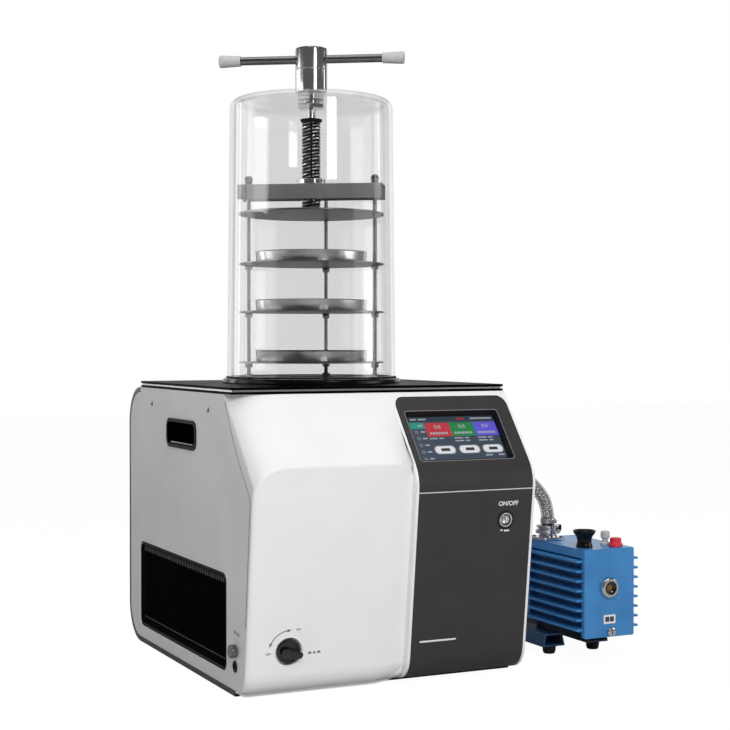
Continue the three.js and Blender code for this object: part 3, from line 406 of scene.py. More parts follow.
def built(name, look, form, frame_mm=Matrix.Identity(4)):
    """The piece of a form that was drawn in millimetres over a plane."""
    form.transform(Matrix.Scale(MM, 4) @ frame_mm)
    data = bpy.data.meshes.new(name)
    form.to_mesh(data)
    form.free()
    return thing(name, data, look)


def slab(name, look, frame_mm, low, high, *shapes, holes=()):
    """Flat plates between two heights over a plane, with holes that have as many corners."""
    form = bmesh.new()
    for index, shape in enumerate(shapes):
        foot, top = [[form.verts.new((x, y, z)) for x, y in shape] for z in (low, high)]
        hole = holes[index] if index < len(holes) else []
        hole_foot, hole_top = [[form.verts.new((x, y, z)) for x, y in hole] for z in (low, high)]
        for k in range(len(shape)):
            n = (k + 1) % len(shape)
            form.faces.new((foot[k], foot[n], top[n], top[k]))
            if hole:
                form.faces.new((hole_foot[n], hole_foot[k], hole_top[k], hole_top[n]))
                form.faces.new((top[k], top[n], hole_top[n], hole_top[k]))
                form.faces.new((foot[n], foot[k], hole_foot[k], hole_foot[n]))
        if not hole:
            form.faces.new(top)
            form.faces.new(foot[::-1])
    bmesh.ops.recalc_face_normals(form, faces=form.faces)
    return built(name, look, form, frame_mm)


CUP_MIDDLE_Y, CUP_LIP_Z, CUP_LIP_LONG = 4, 346.2, 104
# Nylon, moulded black and polished: the cup swallows the light.
gloss_black_nylon = finish("polished_black_nylon", "#050405", 0.3, Specular_IOR_Level=0.04)
grain(gloss_black_nylon, 4, 0.02)
for side in ("left", "right"):
    dress(f"{side}_handle_cup", f"{side}_grip_cup", gloss_black_nylon, "cabinet", "black_plastic", bevel=0.7)
# The same nylon painted pale grey: a painted highlight, a thin line of light along the lip.
rubbed_nylon = finish("rubbed_nylon_lip", "#a5a3a4", 0.25)
mottle(rubbed_nylon, 0.18, 0.4, 6)
for side, sign in (("left", -1), ("right", 1)):
    lip_plane = plane_at((sign * SIDE_X, CUP_MIDDLE_Y, CUP_LIP_Z), (0, sign, 0), (0, 0, 1))
    lip = slab(f"{side}_grip_lip", rubbed_nylon, lip_plane, -1.5, 0.3, outline(CUP_LIP_LONG, 1.8, 0.85))
    keep(shade(lip), "cabinet", "black_plastic")


# ---- Air vent -------------------------------------------------------------------------------------
# Black ABS surround over the condenser's air intake, with a comb of upright slats, and a dust
# filter of open-cell foam behind them. The condenser and its fan stand behind the filter.
def loft(name, look, frame_mm, *rings):
    """A band of faces from one outline to the next, each with its height over a plane."""
    form = bmesh.new()
    rows = [[form.verts.new((x, y, height)) for x, y in shape] for shape, height in rings]
    for low, high in zip(rows, rows[1:]):
        for k in range(len(low)):
            n = (k + 1) % len(low)
            form.faces.new((low[k], low[n], high[n], high[k]))
    return built(name, look, form, frame_mm)


def slat_tree(look):
    """A row of upright slats with rounded noses, side by side along Y."""
    tree, size = new_tree("vent_slats", Count="Int", Start="Vector", Pitch="Float", Thick="Float",
                          Deep="Float", High="Float")
    step = node(tree, "ShaderNodeCombineXYZ", {"Y": size["Pitch"]})
    row = node(tree, "GeometryNodeMeshLine", {
        "Count": size["Count"], "Start Location": size["Start"], "Offset": step.outputs[0]},
        mode="OFFSET")
    unit = node(tree, "GeometryNodeMeshCylinder", {"Vertices": 10, "Radius": 0.5, "Depth": 1.0})
    section = node(tree, "ShaderNodeCombineXYZ", {
        "X": size["Deep"], "Y": size["Thick"], "Z": size["High"]})
    slat = node(tree, "GeometryNodeTransform", {
        "Geometry": unit.outputs["Mesh"], "Scale": section.outputs[0]})
    return copies(tree, row.outputs["Mesh"], slat.outputs["Geometry"], look)


VENT_Y, VENT_Z = 12, 99
VENT_WIDE, VENT_HIGH, VENT_LIP, VENT_BORDER = 412, 139, 3.5, 13
THROAT_WIDE, THROAT_HIGH = VENT_WIDE - 2 * VENT_BORDER, VENT_HIGH - 2 * VENT_BORDER
SLAT_PITCH = 7.7
SLAT_COUNT = int(THROAT_WIDE / SLAT_PITCH)
vent_plane = plane_at((-SIDE_X, VENT_Y, VENT_Z), (0, -1, 0), (0, 0, 1))
lip_in = outline(VENT_WIDE - 2 * VENT_LIP, VENT_HIGH - 2 * VENT_LIP, 10)
# ABS, moulded in a satin tool: black with hardly a highlight.
satin_black_abs = finish("black_abs", "#060506", 0.45, Specular_IOR_Level=0.08)
grain(satin_black_abs, 0.7, 0.03)
vent_frame = slab("vent_surround", satin_black_abs, vent_plane, -3, -0.6, outline(VENT_WIDE, VENT_HIGH, 13),
                  holes=[lip_in])
keep(shade(vent_frame, 30, 0.8), "cabinet", "black_plastic", "left_vent_grille")
# The same ABS on the sloping throat, painted a shade off black as painted light where the room's light falls.
worn_black_abs = finish("black_abs_in_light", "#121112", 0.6, Specular_IOR_Level=0.0)
grain(worn_black_abs, 0.7, 0.04)
vent_funnel = loft("vent_funnel", worn_black_abs, vent_plane, (lip_in, -1.2),
                   (outline(THROAT_WIDE, THROAT_HIGH, 7), -9.5))
keep(shade(vent_funnel), "cabinet", "black_plastic")
# Open-cell foam: its pores, drawn at about twice their size, leave no highlight at all.
foam = finish("open_cell_foam", "#020202", 0.95, Specular_IOR_Level=0.1)
grain(foam, 2.2, 1.2, detail=4)
vent_filter = slab("dust_filter", foam, vent_plane, -13, -10,
                   outline(VENT_WIDE - VENT_BORDER, VENT_HIGH - VENT_BORDER, 9))
keep(shade(vent_filter), "cabinet", "rubber")

# Each slat is dull and black, with a grey painted highlight on a tooth at its top and a paler painted
# highlight at its foot.
dull_black_abs = finish("dull_black_abs", "#030303", 0.7, Specular_IOR_Level=0.08)
grain(dull_black_abs, 1.1, 0.05)
tooth_abs = finish("black_abs_teeth", "#4f4c4d", 0.4)
grain(tooth_abs, 0.7, 0.04)
foot_abs = finish("worn_slat_feet", "#9b9798", 0.4)
grain(foot_abs, 0.7, 0.04)
for name, look, inwards, middle, thick, deep, high in (
        ("vent_slats", dull_black_abs, 7.5, VENT_Z, 2.6, 5, THROAT_HIGH),
        ("vent_teeth", tooth_abs, 3, VENT_Z + 60, 2.6, 0.8, 8),
        ("vent_slat_feet", foot_abs, 4.6, VENT_Z - 55, 1.8, 0.4, 1.8)):
    first_slat = metres(-SIDE_X + inwards, VENT_Y - (SLAT_COUNT - 1) / 2 * SLAT_PITCH, middle)
    slats = grow(name, slat_tree(look), Count=SLAT_COUNT, Start=first_slat, Pitch=SLAT_PITCH * MM,
                 Thick=thick * MM, Deep=deep * MM, High=high * MM)
    keep(shade(slats, 40), "cabinet", "black_plastic")

# Aluminium fins, mill finish: grey, with fine upright lines.
mill_aluminium = finish("mill_finish_aluminium", "#9ea1a4", 0.42, 1.0)
grain(mill_aluminium, 1.2, 0.02, (1, 1, 0.05))
dress("condenser", "condenser_block", mill_aluminium, "cabinet", "aluminium")
dress("cooling_fan", "fan_blades", satin_black_abs, "fan_rotor", "black_plastic")

# ---- Moulded front --------------------------------------------------------------------------------
# One ABS moulding in white that carries the fascia and the drain knob. Its left block is a finer
# sheet of its own, whose crease runs down round both upper corners. A thin dark strip along the
# side panel's edge is painted shade for the groove of the seam.
BLOCK_RIGHT_X = 25.5
BROW_Y, BROW_Z = -216.5, 428
CREASE_Z = 329.46
FACE_Y, FACE_Z = -308.4, 329.5
SLOPE_LEAN, FACE_LEAN = 0.933, 0.1172
FOOT_Z, HEEL_RADIUS, TOE_LIP = 40, 34, 5.2
SKIN_PROUD = 0.3
DRAIN_X, DRAIN_Z, DRAIN_BORE = -162.5, 67.5, 21.2
# ABS, moulded white: even and soft, with one broad highlight that rolls round its edges.
gloss_white_abs = finish("white_abs", "#f1f0f1", 0.42, Specular_IOR_Level=0.35)
grain(gloss_white_abs, 9, 0.012)
tint(gloss_white_abs, "#f0eff0", "#f3f2f3", 90)


def from_drain(x, z):
    """How far a point of the front is from the middle of the drain knob."""
    return math.dist((x, z), (DRAIN_X, DRAIN_Z))


dress("front_moulding", "front_shell", gloss_white_abs, "cabinet", "white_paint", crease=22,
      left_out=lambda middle, facing: (
          facing.y < -0.12 and middle.x < BLOCK_RIGHT_X - 0.1 and from_drain(middle.x, middle.z) > 21))


def fall(inset, wide, deep):
    """How far an elliptic corner has fallen away at a distance in from its edge."""
    return deep * (1 - math.sqrt(max(0, 1 - max(0, 1 - inset / wide) ** 2)))


def skin_column(x):
    """The block's section at one place across it: slope, soft crease, leaning face, rolled foot."""
    from_left, from_right = x + SIDE_X, BLOCK_RIGHT_X - x
    drop = fall(from_left, 50, 42) + fall(from_right, 34, 26)
    face = fall(from_left, 14, 7) + 8 * max(0, 1 - from_right / 50) ** 2.2 - SKIN_PROUD
    slope, brow = face + (SLOPE_LEAN + FACE_LEAN) * drop, fall(from_left, 78, 44)
    crease = CREASE_Z - drop
    above, below = crease + 8, crease - 8
    heights = [BROW_Z + (above - BROW_Z) * k / 30 for k in range(31)]
    heights += [crease + k for k in (6, 4.5, 3.4, 2.5, 1.7, 1, 0.4, -0.4, -1, -1.7, -2.5, -3.4, -4.5, -6)]
    heights += [below + (FOOT_Z - below) * k / 110 for k in range(111)]
    column = []
    for z in heights:
        down = ((BROW_Z - z) / (BROW_Z - crease)) ** 1.5
        back = BROW_Y - SLOPE_LEAN * (BROW_Z - z) + slope * down + brow * (1 - down)
        front = FACE_Y - FACE_LEAN * (z - FACE_Z) + face
        softened = 0.8 * max(0, 1 - abs(back - front) / 3.2) ** 2
        column.append((x, max(back, front) + softened, z))
    heel = HEEL_RADIUS - face
    middle = column[-1][1] + heel
    for k in range(1, 11):
        angle = math.radians(8.2 * k)
        column.append((x, middle - heel * math.cos(angle), FOOT_Z - heel * math.sin(angle)))
    column.append((x, column[-1][1] + 0.3, column[-1][2] - TOE_LIP))
    return column


def front_skin(name, look):
    """The left block as one fine sheet, with a round bore where the drain knob sits."""
    fan = [k / 26 for k in range(27)]
    across = [54 * t * t - SIDE_X for t in fan] + [-171 + 158 * k / 60 for k in range(1, 60)] \
        + [BLOCK_RIGHT_X - 38.5 * t * t for t in reversed(fan)]
    form = bmesh.new()
    columns = [[form.verts.new(point) for point in skin_column(x)] for x in across]
    for left, right in zip(columns, columns[1:]):
        for k in range(len(left) - 1):
            corners = (left[k], left[k + 1], right[k + 1], right[k])
            if min(from_drain(v.co.x, v.co.z) for v in corners) > DRAIN_BORE - 2.6:
                form.faces.new(corners)
    for vert in form.verts:
        away = from_drain(vert.co.x, vert.co.z)
        if vert.link_faces and 0 < away < DRAIN_BORE:
            vert.co.x = DRAIN_X + (vert.co.x - DRAIN_X) * DRAIN_BORE / away
            vert.co.z = DRAIN_Z + (vert.co.z - DRAIN_Z) * DRAIN_BORE / away
            vert.co.y = FACE_Y - SKIN_PROUD - FACE_LEAN * (vert.co.z - FACE_Z)
    bmesh.ops.delete(form, geom=[vert for vert in form.verts if not vert.link_faces], context="VERTS")
    made = built(name, look, form)
    made.data.shade_smooth()
    return keep(made, "cabinet", "white_paint")


front_skin("front_block_skin", gloss_white_abs)
# Painted shade: a thin dull grey line laid on the side panel for the shaded groove of the seam.
seam_rubber = finish("grey_seam_rubber", "#4b4849", 0.6)
grain(seam_rubber, 0.8, 0.03)
SEAM_HALF = 0.8
upper, corner, lower = Vector((-214.5, 379)), Vector((-235.5, 345)), Vector((-263, 316))
bend = [(1 - t) ** 2 * upper + 2 * t * (1 - t) * corner + t * t * lower for t in (k / 12 for k in range(13))]
seam_line = [(-190, 419), *bend, (-283, 294.5), (-288, 287.5), (-290, 279), (-272, 104)]
keep(slab("side_seam", seam_rubber, plane_at((-SIDE_X, 0, 0), (0, 1, 0), (0, 0, 1)), -0.1, 0.05,
          [(y - SEAM_HALF, z) for y, z in seam_line] + [(y + SEAM_HALF, z) for y, z in reversed(seam_line)]),
     "cabinet", "rubber")

# ---- Dark fascia ----------------------------------------------------------------------------------
# Charcoal ABS panel in two parts with a fine spark-eroded texture, and a white inlay between them.
# ABS, spark-eroded charcoal: one even dark tone with no mirror in it.
charcoal_abs = finish("charcoal_textured_abs", "#322f30", 0.46)
grain(charcoal_abs, 0.7, 0.03)
tint(charcoal_abs, "#302d2e", "#343132", 60)
dress("display_fascia", "display_surround", charcoal_abs, "cabinet", "fascia_grey", bevel=0.5)
dress("lower_fascia", "fascia_panel", charcoal_abs, "cabinet", "fascia_grey")
# PVC strip, extruded white: one clean bright line.
white_inlay = finish("white_pvc_inlay", "#dcdbdc", 0.35)
grain(white_inlay, 3, 0.02)
dress("fascia_divider", "divider_inlay", white_inlay, "cabinet", "white_paint")


# ---- Display --------------------------------------------------------------------------------------
# Touch panel at the foot of the fascia's pocket: a lit LCD under a black-edged cover glass. The
# pocket's rim is a chamfer with a painted highlight in grey. Places on the screen are shares of
# its width and height.
def lettering(name, look, words, high_mm, frame_mm, thick_mm=0.1, bold_mm=0.0):
    """Printed capitals of a real height, centred on a drawing plane."""
    data = bpy.data.curves.new(name, "FONT")
    data.body = words
    data.size = high_mm / 0.72
    data.align_x, data.align_y = "CENTER", "CENTER"
    data.extrude = thick_mm / 2
    data.offset = bold_mm
    written = bpy.data.objects.new(name, data)
    bpy.context.scene.collection.objects.link(written)
    seen = written.evaluated_get(bpy.context.evaluated_depsgraph_get())
    letters = bpy.data.meshes.new_from_object(seen)
    bpy.data.objects.remove(written)
    letters.transform(Matrix.Scale(MM, 4) @ frame_mm)
    letters.materials.clear()
    return thing(name, letters, look)


def moved(frame_mm, x, y, z=0.0):
    """A drawing plane shifted within itself."""
    return frame_mm @ Matrix.Translation((x, y, z))


def grown_on(frame_mm, piece):
    """Puts a grown mesh, in metres, on a drawing plane in millimetres."""
    place = frame_mm.copy()
    place.translation *= MM
    piece.data.transform(place)
    return piece


SCREEN_WIDE, SCREEN_HIGH, SCREEN_SUNK = 148.5, 79.5, 14.0
slope_plane = plane_at((119, -266.53, 365), (1, 0, 0), (0, 94.5, 119))
screen_plane = moved(slope_plane, 4.0, 4.7, -SCREEN_SUNK)
# Toughened glass, printed black from behind: deep black under a hard gloss.
cover_glass = finish("black_edged_cover_glass", "#0b0d10", 0.07, Coat_Weight=1.0)
mottle(cover_glass, 0.05, 0.14, 25)
dress("display_module", "touch_panel", cover_glass, "cabinet", "screen", bevel=0.3)
# ABS chamfer painted pale grey: a painted highlight, a thin line of light round the pocket.
polished_chamfer = finish("polished_abs_chamfer", "#87817f", 0.3)
grain(polished_chamfer, 6, 0.02)
display_rim = slab("display_rim", polished_chamfer, slope_plane, -0.6, 0.25, outline(160, 92, 6),
                   holes=[outline(158, 90, 5)])
keep(shade(display_rim), "cabinet", "fascia_grey")
# Painted shade: a dull dark lining on the pocket's walls, so that the pocket is dark down to the glass.
pocket_gasket = finish("black_eva_gasket", "#171516", 0.7)
grain(pocket_gasket, 1, 0.03)
pocket_lining = slab("pocket_lining", pocket_gasket, slope_plane, -13.9, -0.9,
                     outline(157.9, 89.9, 4.95), holes=[outline(157.1, 89.1, 4.55)])
keep(pocket_lining, "cabinet", "fascia_grey")


def lit(name, colour, glow=0.75):
    """An LCD colour under the cover glass: it glows by itself and keeps a faint gloss."""
    made = finish(f"lcd_{name}", colour, 0.3, Emission_Color=linear(colour), Emission_Strength=glow)
    shader_of(made).inputs["Base Color"].default_value = linear("#101214")
    mottle(made, 0.25, 0.35, 30)
    return made


def screen_place(across, down):
    """A place on the screen in millimetres from its middle."""
    return (across - 0.5) * SCREEN_WIDE, (0.5 - down) * SCREEN_HIGH


def screen_areas(name, look, level, radius, areas):
    """Areas of the screen, each by its left, top, right and bottom."""
    shapes = []
    for left, top, right, bottom in areas:
        wide, high = (right - left) * SCREEN_WIDE, (bottom - top) * SCREEN_HIGH
        shapes.append(outline(wide, high, min(radius, wide / 2.1, high / 2.1),
                              *screen_place((left + right) / 2, (top + bottom) / 2), 4))
    made = slab(f"screen_{name}", look, screen_plane, level - 0.06, level, *shapes)
    return keep(made, "cabinet", "screen")


TILE_TOP, TILE_FOOT = 0.15, 0.465
BUTTON_SPANS = ((0.2, 0.42), (0.48, 0.7), (0.752, 0.97))
MENU_PITCH = 0.152
lcd_ink = lit("ink", "#c3c9d0", 0.62)
ink_dashes = [(0.03, 0.05, 0.1, 0.08), (0.12, 0.05, 0.21, 0.08), (0.72, 0.05, 0.97, 0.08),
              (0.095, 0.19, 0.145, 0.225), (0.75, 0.9, 0.83, 0.93), (0.9, 0.9, 0.97, 0.93),
              (0.18, 0.495, 0.27, 0.52), (0.29, 0.495, 0.34, 0.52)]
ink_dashes += [(0.105, 0.335 + MENU_PITCH * row, 0.155, 0.365 + MENU_PITCH * row) for row in range(5)]
for tile in (0.462, 0.735):
    for row in (0.495, 0.56):
        ink_dashes += [(tile, row, tile + 0.1, row + 0.025), (tile + 0.12, row, tile + 0.17, row + 0.025)]
for name, look, level, radius, areas in (
        ("field", lit("slate_field", "#3d4a5a", 0.8), 0.12, 3.5, [(0.006, 0.008, 0.994, 0.992)]),
        ("top_bar", lit("top_bar", "#36424f", 0.8), 0.2, 1, [(0.006, 0.01, 0.994, 0.12)]),
        ("menu_tab", lit("teal_tab", "#1f9a8d"), 0.22, 0.5, [(0.006, 0.135, 0.165, 0.28)]),
        ("red_tile", lit("red_tile", "#c9343f"), 0.22, 0.5, [(0.17, TILE_TOP, 0.452, TILE_FOOT)]),
        ("green_tile", lit("green_tile", "#1d8a4b"), 0.22, 0.5, [(0.452, TILE_TOP, 0.73, TILE_FOOT)]),
        ("violet_tile", lit("violet_tile", "#675ce0"), 0.22, 0.5, [(0.73, TILE_TOP, 0.994, TILE_FOOT)]),
        ("alert_mark", lit("alert_mark", "#b8323a"), 0.26, 0.5, [(0.56, 0.045, 0.65, 0.085)]),
        ("button_rims", lit("button_rim", "#a8acb6"), 0.24, 6.5,
         [(left - 0.01, 0.675, right + 0.01, 0.865) for left, right in BUTTON_SPANS]),
        ("buttons", lit("button_white", "#e8e9ec", 0.85), 0.3, 6,
         [(left, 0.69, right, 0.85) for left, right in BUTTON_SPANS]),
        ("captions", lcd_ink, 0.28, 0.4, ink_dashes),
        ("button_words", lit("dark_ink", "#3a3d44", 0.8), 0.36, 0.8,
         [(left, 0.735, left + 0.1, 0.8) for left in (0.265, 0.545, 0.815)])):
    screen_areas(name, look, level, radius, areas)
for index, middle in enumerate((0.311, 0.591, 0.862)):
    reading_plane = moved(screen_plane, *screen_place(middle, 0.245), 0.26)
    keep(lettering(f"screen_reading_{index}", lcd_ink, "0.0", 6.6, reading_plane, 0.05, 0.12),
         "cabinet", "screen")
    screen_areas(f"caption_{index}", lcd_ink, 0.28, 0.5, [
        (middle - 0.105 + 0.03 * k, 0.365, middle - 0.084 + 0.03 * k, 0.415) for k in range(7)])


def ring_tree(look):
    """A column of thin rings, for the marks of a menu."""
    tree, size = new_tree("menu_marks", Count="Int", Start="Vector", Step="Vector", Radius="Float",
                          Wire="Float")
    column = node(tree, "GeometryNodeMeshLine", {
        "Count": size["Count"], "Start Location": size["Start"], "Offset": size["Step"]}, mode="OFFSET")
    loop = node(tree, "GeometryNodeCurvePrimitiveCircle", {"Resolution": 16, "Radius": size["Radius"]})
    section = node(tree, "GeometryNodeCurvePrimitiveCircle", {"Resolution": 4, "Radius": size["Wire"]})
    ring = node(tree, "GeometryNodeCurveToMesh", {
        "Curve": loop.outputs["Curve"], "Profile Curve": section.outputs["Curve"]})
    return copies(tree, column.outputs["Mesh"], ring.outputs["Mesh"], look)


menu_marks = grow("menu_marks", ring_tree(lcd_ink), Count=5, Start=metres(*screen_place(0.06, 0.35), 0.2),
                  Step=metres(0, -MENU_PITCH * SCREEN_HIGH, 0), Radius=2.2 * MM, Wire=0.35 * MM)
keep(grown_on(screen_plane, menu_marks), "cabinet", "screen")


# ---- Power button ---------------------------------------------------------------------------------
# Stainless push button, spun and brushed, in a threaded ring that clamps the lower fascia. White
# printing stands above it and at the fascia's foot.
def turned(name, look, profile, frame_mm, sides=96, ring=False):
    """A turned body from radius and height pairs about a plane's Z; a ring's profile closes on itself."""
    form = bmesh.new()
    rows = []
    for radius, height in profile:
        turns = [2 * math.pi * k / sides for k in range(sides if radius else 1)]
        rows.append([form.verts.new((radius * math.cos(a), radius * math.sin(a), height)) for a in turns])
    for low, high in list(zip(rows, rows[1:])) + ([(rows[-1], rows[0])] if ring else []):
        for k in range(sides if len(low) + len(high) > 2 else 0):
            n = (k + 1) % sides
            corners = (low[k % len(low)], low[n % len(low)], high[n % len(high)], high[k % len(high)])
            form.faces.new(list(dict.fromkeys(corners)))
    bmesh.ops.recalc_face_normals(form, faces=form.faces)
    return shade(built(name, look, form, frame_mm), 35)


face_plane = plane_at((0, -302.8, 239), (1, 0, 0), (0, -35.5, 303))
button_plane = moved(face_plane, 177, 0)
# Stainless steel, turned: close rings of light on the cap and a bright edge on the ring.
turned_stainless = finish("turned_stainless", "#e6e6e8", 0.22, 1.0)
mottle(turned_stainless, 0.14, 0.3, 2)
keep(turned("button_ring", turned_stainless, [
    (11, -2.8), (11, 0.6), (10.6, 1), (8.9, 1), (8.4, 0.6), (8.4, -6), (10, -6), (10, -2.8)],
    button_plane, ring=True), "cabinet", "chrome", "power_button_bezel")
# Silicone, moulded black: a dull ring on both sides of the bright one.
button_well = finish("black_silicone_seal", "#0a0a0b", 0.6)
grain(button_well, 1, 0.02)
for name, profile in (
        ("button_seal", [(8.3, -1), (7.6, -1), (7.6, -3), (8.3, -3)]),
        ("button_gasket", [(11.1, 0.1), (11.1, 0.9), (13.6, 0.9), (14.4, 0.4), (14.4, 0.1)])):
    keep(turned(name, button_well, profile, button_plane, ring=True), "cabinet", "rubber")
keep(turned("button_cap", turned_stainless, [
    (0, 0.7), (1.2, 0.6), (2.6, -0.3), (3.4, -0.4), (4.8, 0.5), (5.8, 0.6), (6.8, -0.2), (7.2, -1.2),
    (7.4, -2), (7.4, -14), (0, -14)], button_plane), "power_cap", "chrome", "power_button")
# Screen ink, white: flat and clean, a hair above the panel.
white_print = finish("white_screen_print", "#eceaea", 0.45)
grain(white_print, 0.6, 0.01)
keep(lettering("power_letters", white_print, "ON/OFF", 6.7, moved(face_plane, 180, 24.6, 0.15), 0.3, 0.2),
     "cabinet", "white_paint")
keep(slab("button_marks", white_print, button_plane, 0.1, 0.25, outline(3.6, 2, 0.5, -6.5, -15.6),
          outline(9.5, 2.4, 1.1, 2.5, -16.4)), "cabinet", "white_paint")
keep(slab("fascia_foot_stripe", white_print, moved(face_plane, 0, -176.2), 0, 0.12,
          outline(61, 2.6, 1.2, 73.5)), "cabinet", "white_paint")


# ---- Drain knob -----------------------------------------------------------------------------------
# Black moulded knob with a pointer lever, in a round recess of the white front. Grey printing shows
# which way it opens. The brass tap that it turns stands behind it.
def arc_band(radius, wide, first, final, steps=24):
    """A curved stripe's outline between two angles in degrees."""
    angles = [math.radians(first + (final - first) * k / steps) for k in range(steps + 1)]
    far, near = [[(r * math.cos(a), r * math.sin(a)) for a in angles]
                 for r in (radius + wide / 2, radius - wide / 2)]
    return far + near[::-1]


def arrow_head(radius, angle, way, long=6.5, wide=4.6):
    """A small triangle that ends a curved stripe."""
    a = math.radians(angle)
    middle = Vector((radius * math.cos(a), radius * math.sin(a)))
    along = Vector((-math.sin(a), math.cos(a))) * way
    across = Vector((math.cos(a), math.sin(a))) * wide / 2
    return [tuple(middle + along * long), tuple(middle + across * way), tuple(middle - across * way)]


drain_plane = plane_at((DRAIN_X, -277.705, DRAIN_Z), (1, 0, 0), (0, -37.9, 323.5))
# Nylon, moulded in a polished tool: deep black with small sharp highlights.
moulded_black = finish("moulded_black_nylon", "#0a0909", 0.24, Coat_Weight=0.5)
grain(moulded_black, 1.4, 0.05)
keep(turned("drain_knob_disc", moulded_black, [
    (0, -2.2), (17.4, -2.2), (18, -1.6), (18, 1.6), (17.4, 2.8), (16, 3.4), (13.6, 3.2), (13, 2.2),
    (0, 2.2)], drain_plane), "drain_turner", "black_plastic", "drain_knob")
lever = slab("drain_knob_lever", moulded_black, drain_plane, 1.6, 11,
             [(-12.5, 5.5), (-14, 2), (-13, -2), (-8, -4.6), (0, -7.5), (9, -9.6), (16, -8.8), (18.8, -5),
              (18.2, -0.6), (14, 1), (6, 3.4), (-4, 6.4)])
keep(shade(lever, 35, 1.6), "drain_turner", "black_plastic")
keep(turned("drain_knob_screw", moulded_black, [
    (0, 11.6), (2.6, 11.6), (3.2, 11.2), (3.2, 10.4), (0, 10.4)], moved(drain_plane, -6, 0.6), 32),
    "drain_turner", "black_plastic")
keep(turned("drain_recess_lip", gloss_white_abs, [
    (20, -3.9), (20, 0.3), (20.8, 0.9), (22, 0.6), (22.6, 0)], drain_plane), "cabinet", "white_paint")
# Screen ink, grey: thin and flat.
grey_print = finish("grey_screen_print", "#77737a", 0.5)
grain(grey_print, 0.6, 0.01)
ARROW_RADIUS = 30.5
keep(slab("drain_arrow", grey_print, drain_plane, 0.3, 0.4, arc_band(ARROW_RADIUS, 1.5, 94, 156),
          arrow_head(ARROW_RADIUS, 96, -1), arrow_head(ARROW_RADIUS, 154, 1)), "cabinet", "black_plastic")
for name, words, x, y in (("drain_on", "ON", 13.5, 31), ("drain_off", "OFF", -31, -1.5)):
    keep(lettering(name, grey_print, words, 3.2, moved(drain_plane, x, y, 0.4), 0.1, 0.12), "cabinet",
         "black_plastic")
keep(slab("drain_label_bars", grey_print, drain_plane, 0.3, 0.4, outline(5, 3.4, 0.8, 32.5, -4.6),
          outline(4, 3, 0.8, 39.5, -4.8), outline(5, 3.4, 0.8, 46.5, -4.4)), "cabinet", "black_plastic")
# Brass, cast and tumbled: warm and uneven.
cast_brass = finish("cast_brass", "#b08d4f", 0.35, 1.0)
mottle(cast_brass, 0.28, 0.45, 4)
dress("drain_valve", "drain_tap_and_pipe", cast_brass, "cabinet", "steel", crease=45)


# ---- Aeration valve -------------------------------------------------------------------------------
# Needle valve low on the left side: a knurled steel knob above an air outlet that a rubber grommet
# lines. The valve block is screwed on behind the sheet.
def rib_tree(look):
    """Round ribs about Z: Count of them on Radius, each Wide and Long."""
    tree, size = new_tree("grip_ribs", Count="Int", Radius="Float", Wide="Float", Long="Float")
    circle = node(tree, "GeometryNodeMeshCircle", {"Vertices": size["Count"], "Radius": size["Radius"]})
    unit = node(tree, "GeometryNodeMeshCylinder", {"Vertices": 6, "Radius": 0.5, "Depth": 1.0})
    section = node(tree, "ShaderNodeCombineXYZ", {
        "X": size["Wide"], "Y": size["Wide"], "Z": size["Long"]})
    rib = node(tree, "GeometryNodeTransform", {
        "Geometry": unit.outputs["Mesh"], "Scale": section.outputs[0]})
    return copies(tree, circle.outputs["Mesh"], rib.outputs["Geometry"], look)


side_plane = plane_at((-SIDE_X, 0, 0), (0, -1, 0), (0, 0, 1))
knob_plane = moved(side_plane, 236, 66)
outlet_plane = moved(side_plane, 231, 43)
# Steel, knurled and plated: a grey drum of many small glints.
knurled_steel = finish("knurled_steel", "#8d8d90", 0.3, 1.0)
mottle(knurled_steel, 0.2, 0.45, 1.5)
keep(turned("aeration_grip", knurled_steel, [
    (0, -10), (3, -10), (3, 1.5), (8.4, 1.5), (9, 2.2), (9, 9.6), (8.2, 10.8), (5.4, 11), (4.8, 10.3),
    (0, 10.3)], knob_plane, 48), "aeration_turner", "chrome", "aeration_knob")
knurl = grow("aeration_knurl", rib_tree(knurled_steel), Count=32, Radius=9 * MM, Wide=1.1 * MM, Long=7 * MM)
keep(shade(grown_on(moved(knob_plane, 0, 0, 6), knurl), 40), "aeration_turner", "chrome")
# Nitrile rubber, moulded: black, dry and dull.
nitrile = finish("black_nitrile_rubber", "#131313", 0.75)
grain(nitrile, 1.2, 0.04)
keep(turned("outlet_grommet", nitrile, [
    (4.6, -16), (4.6, 0.9), (5.4, 1.4), (8.2, 1.1), (8.8, 0.2), (6.3, 0.2), (6.3, -16)],
    outlet_plane, 40, True), "cabinet", "rubber")
# Stainless steel, brushed along its length: highlights drawn out one way.
brushed_stainless = finish("brushed_stainless", "#bfc1c4", 0.24, 1.0)
grain(brushed_stainless, 0.7, 0.01, (0.04, 1, 1))
mottle(brushed_stainless, 0.18, 0.34, 9)
dress("aeration_valve", "aeration_block", brushed_stainless, "cabinet", "steel", bevel=0.4)
keep(slab("aeration_label_bars", grey_print, side_plane, 0, 0.12, outline(5, 5, 0.8, 229, 92),
          outline(5, 4, 0.8, 236.5, 91), outline(5, 5, 0.8, 244, 90)), "cabinet", "black_plastic")

# ---- Top plates -----------------------------------------------------------------------------------
# Two polished black acrylic sheets with a thin aluminium one between them, cut with rounded corners
# and lapped edges.
# Acrylic, cast black: deep black with only a faint, broad sheen.
black_acrylic = finish("polished_black_acrylic", "#070606", 0.35, Specular_IOR_Level=0.01)
mottle(black_acrylic, 0.3, 0.42, 60)
dress("top_plate_lower", "lower_top_sheet", black_acrylic, "cabinet", "black_glass", bevel=0.5)
dress("top_plate_upper", "upper_top_sheet", black_acrylic, "cabinet", "black_glass", bevel=0.7)
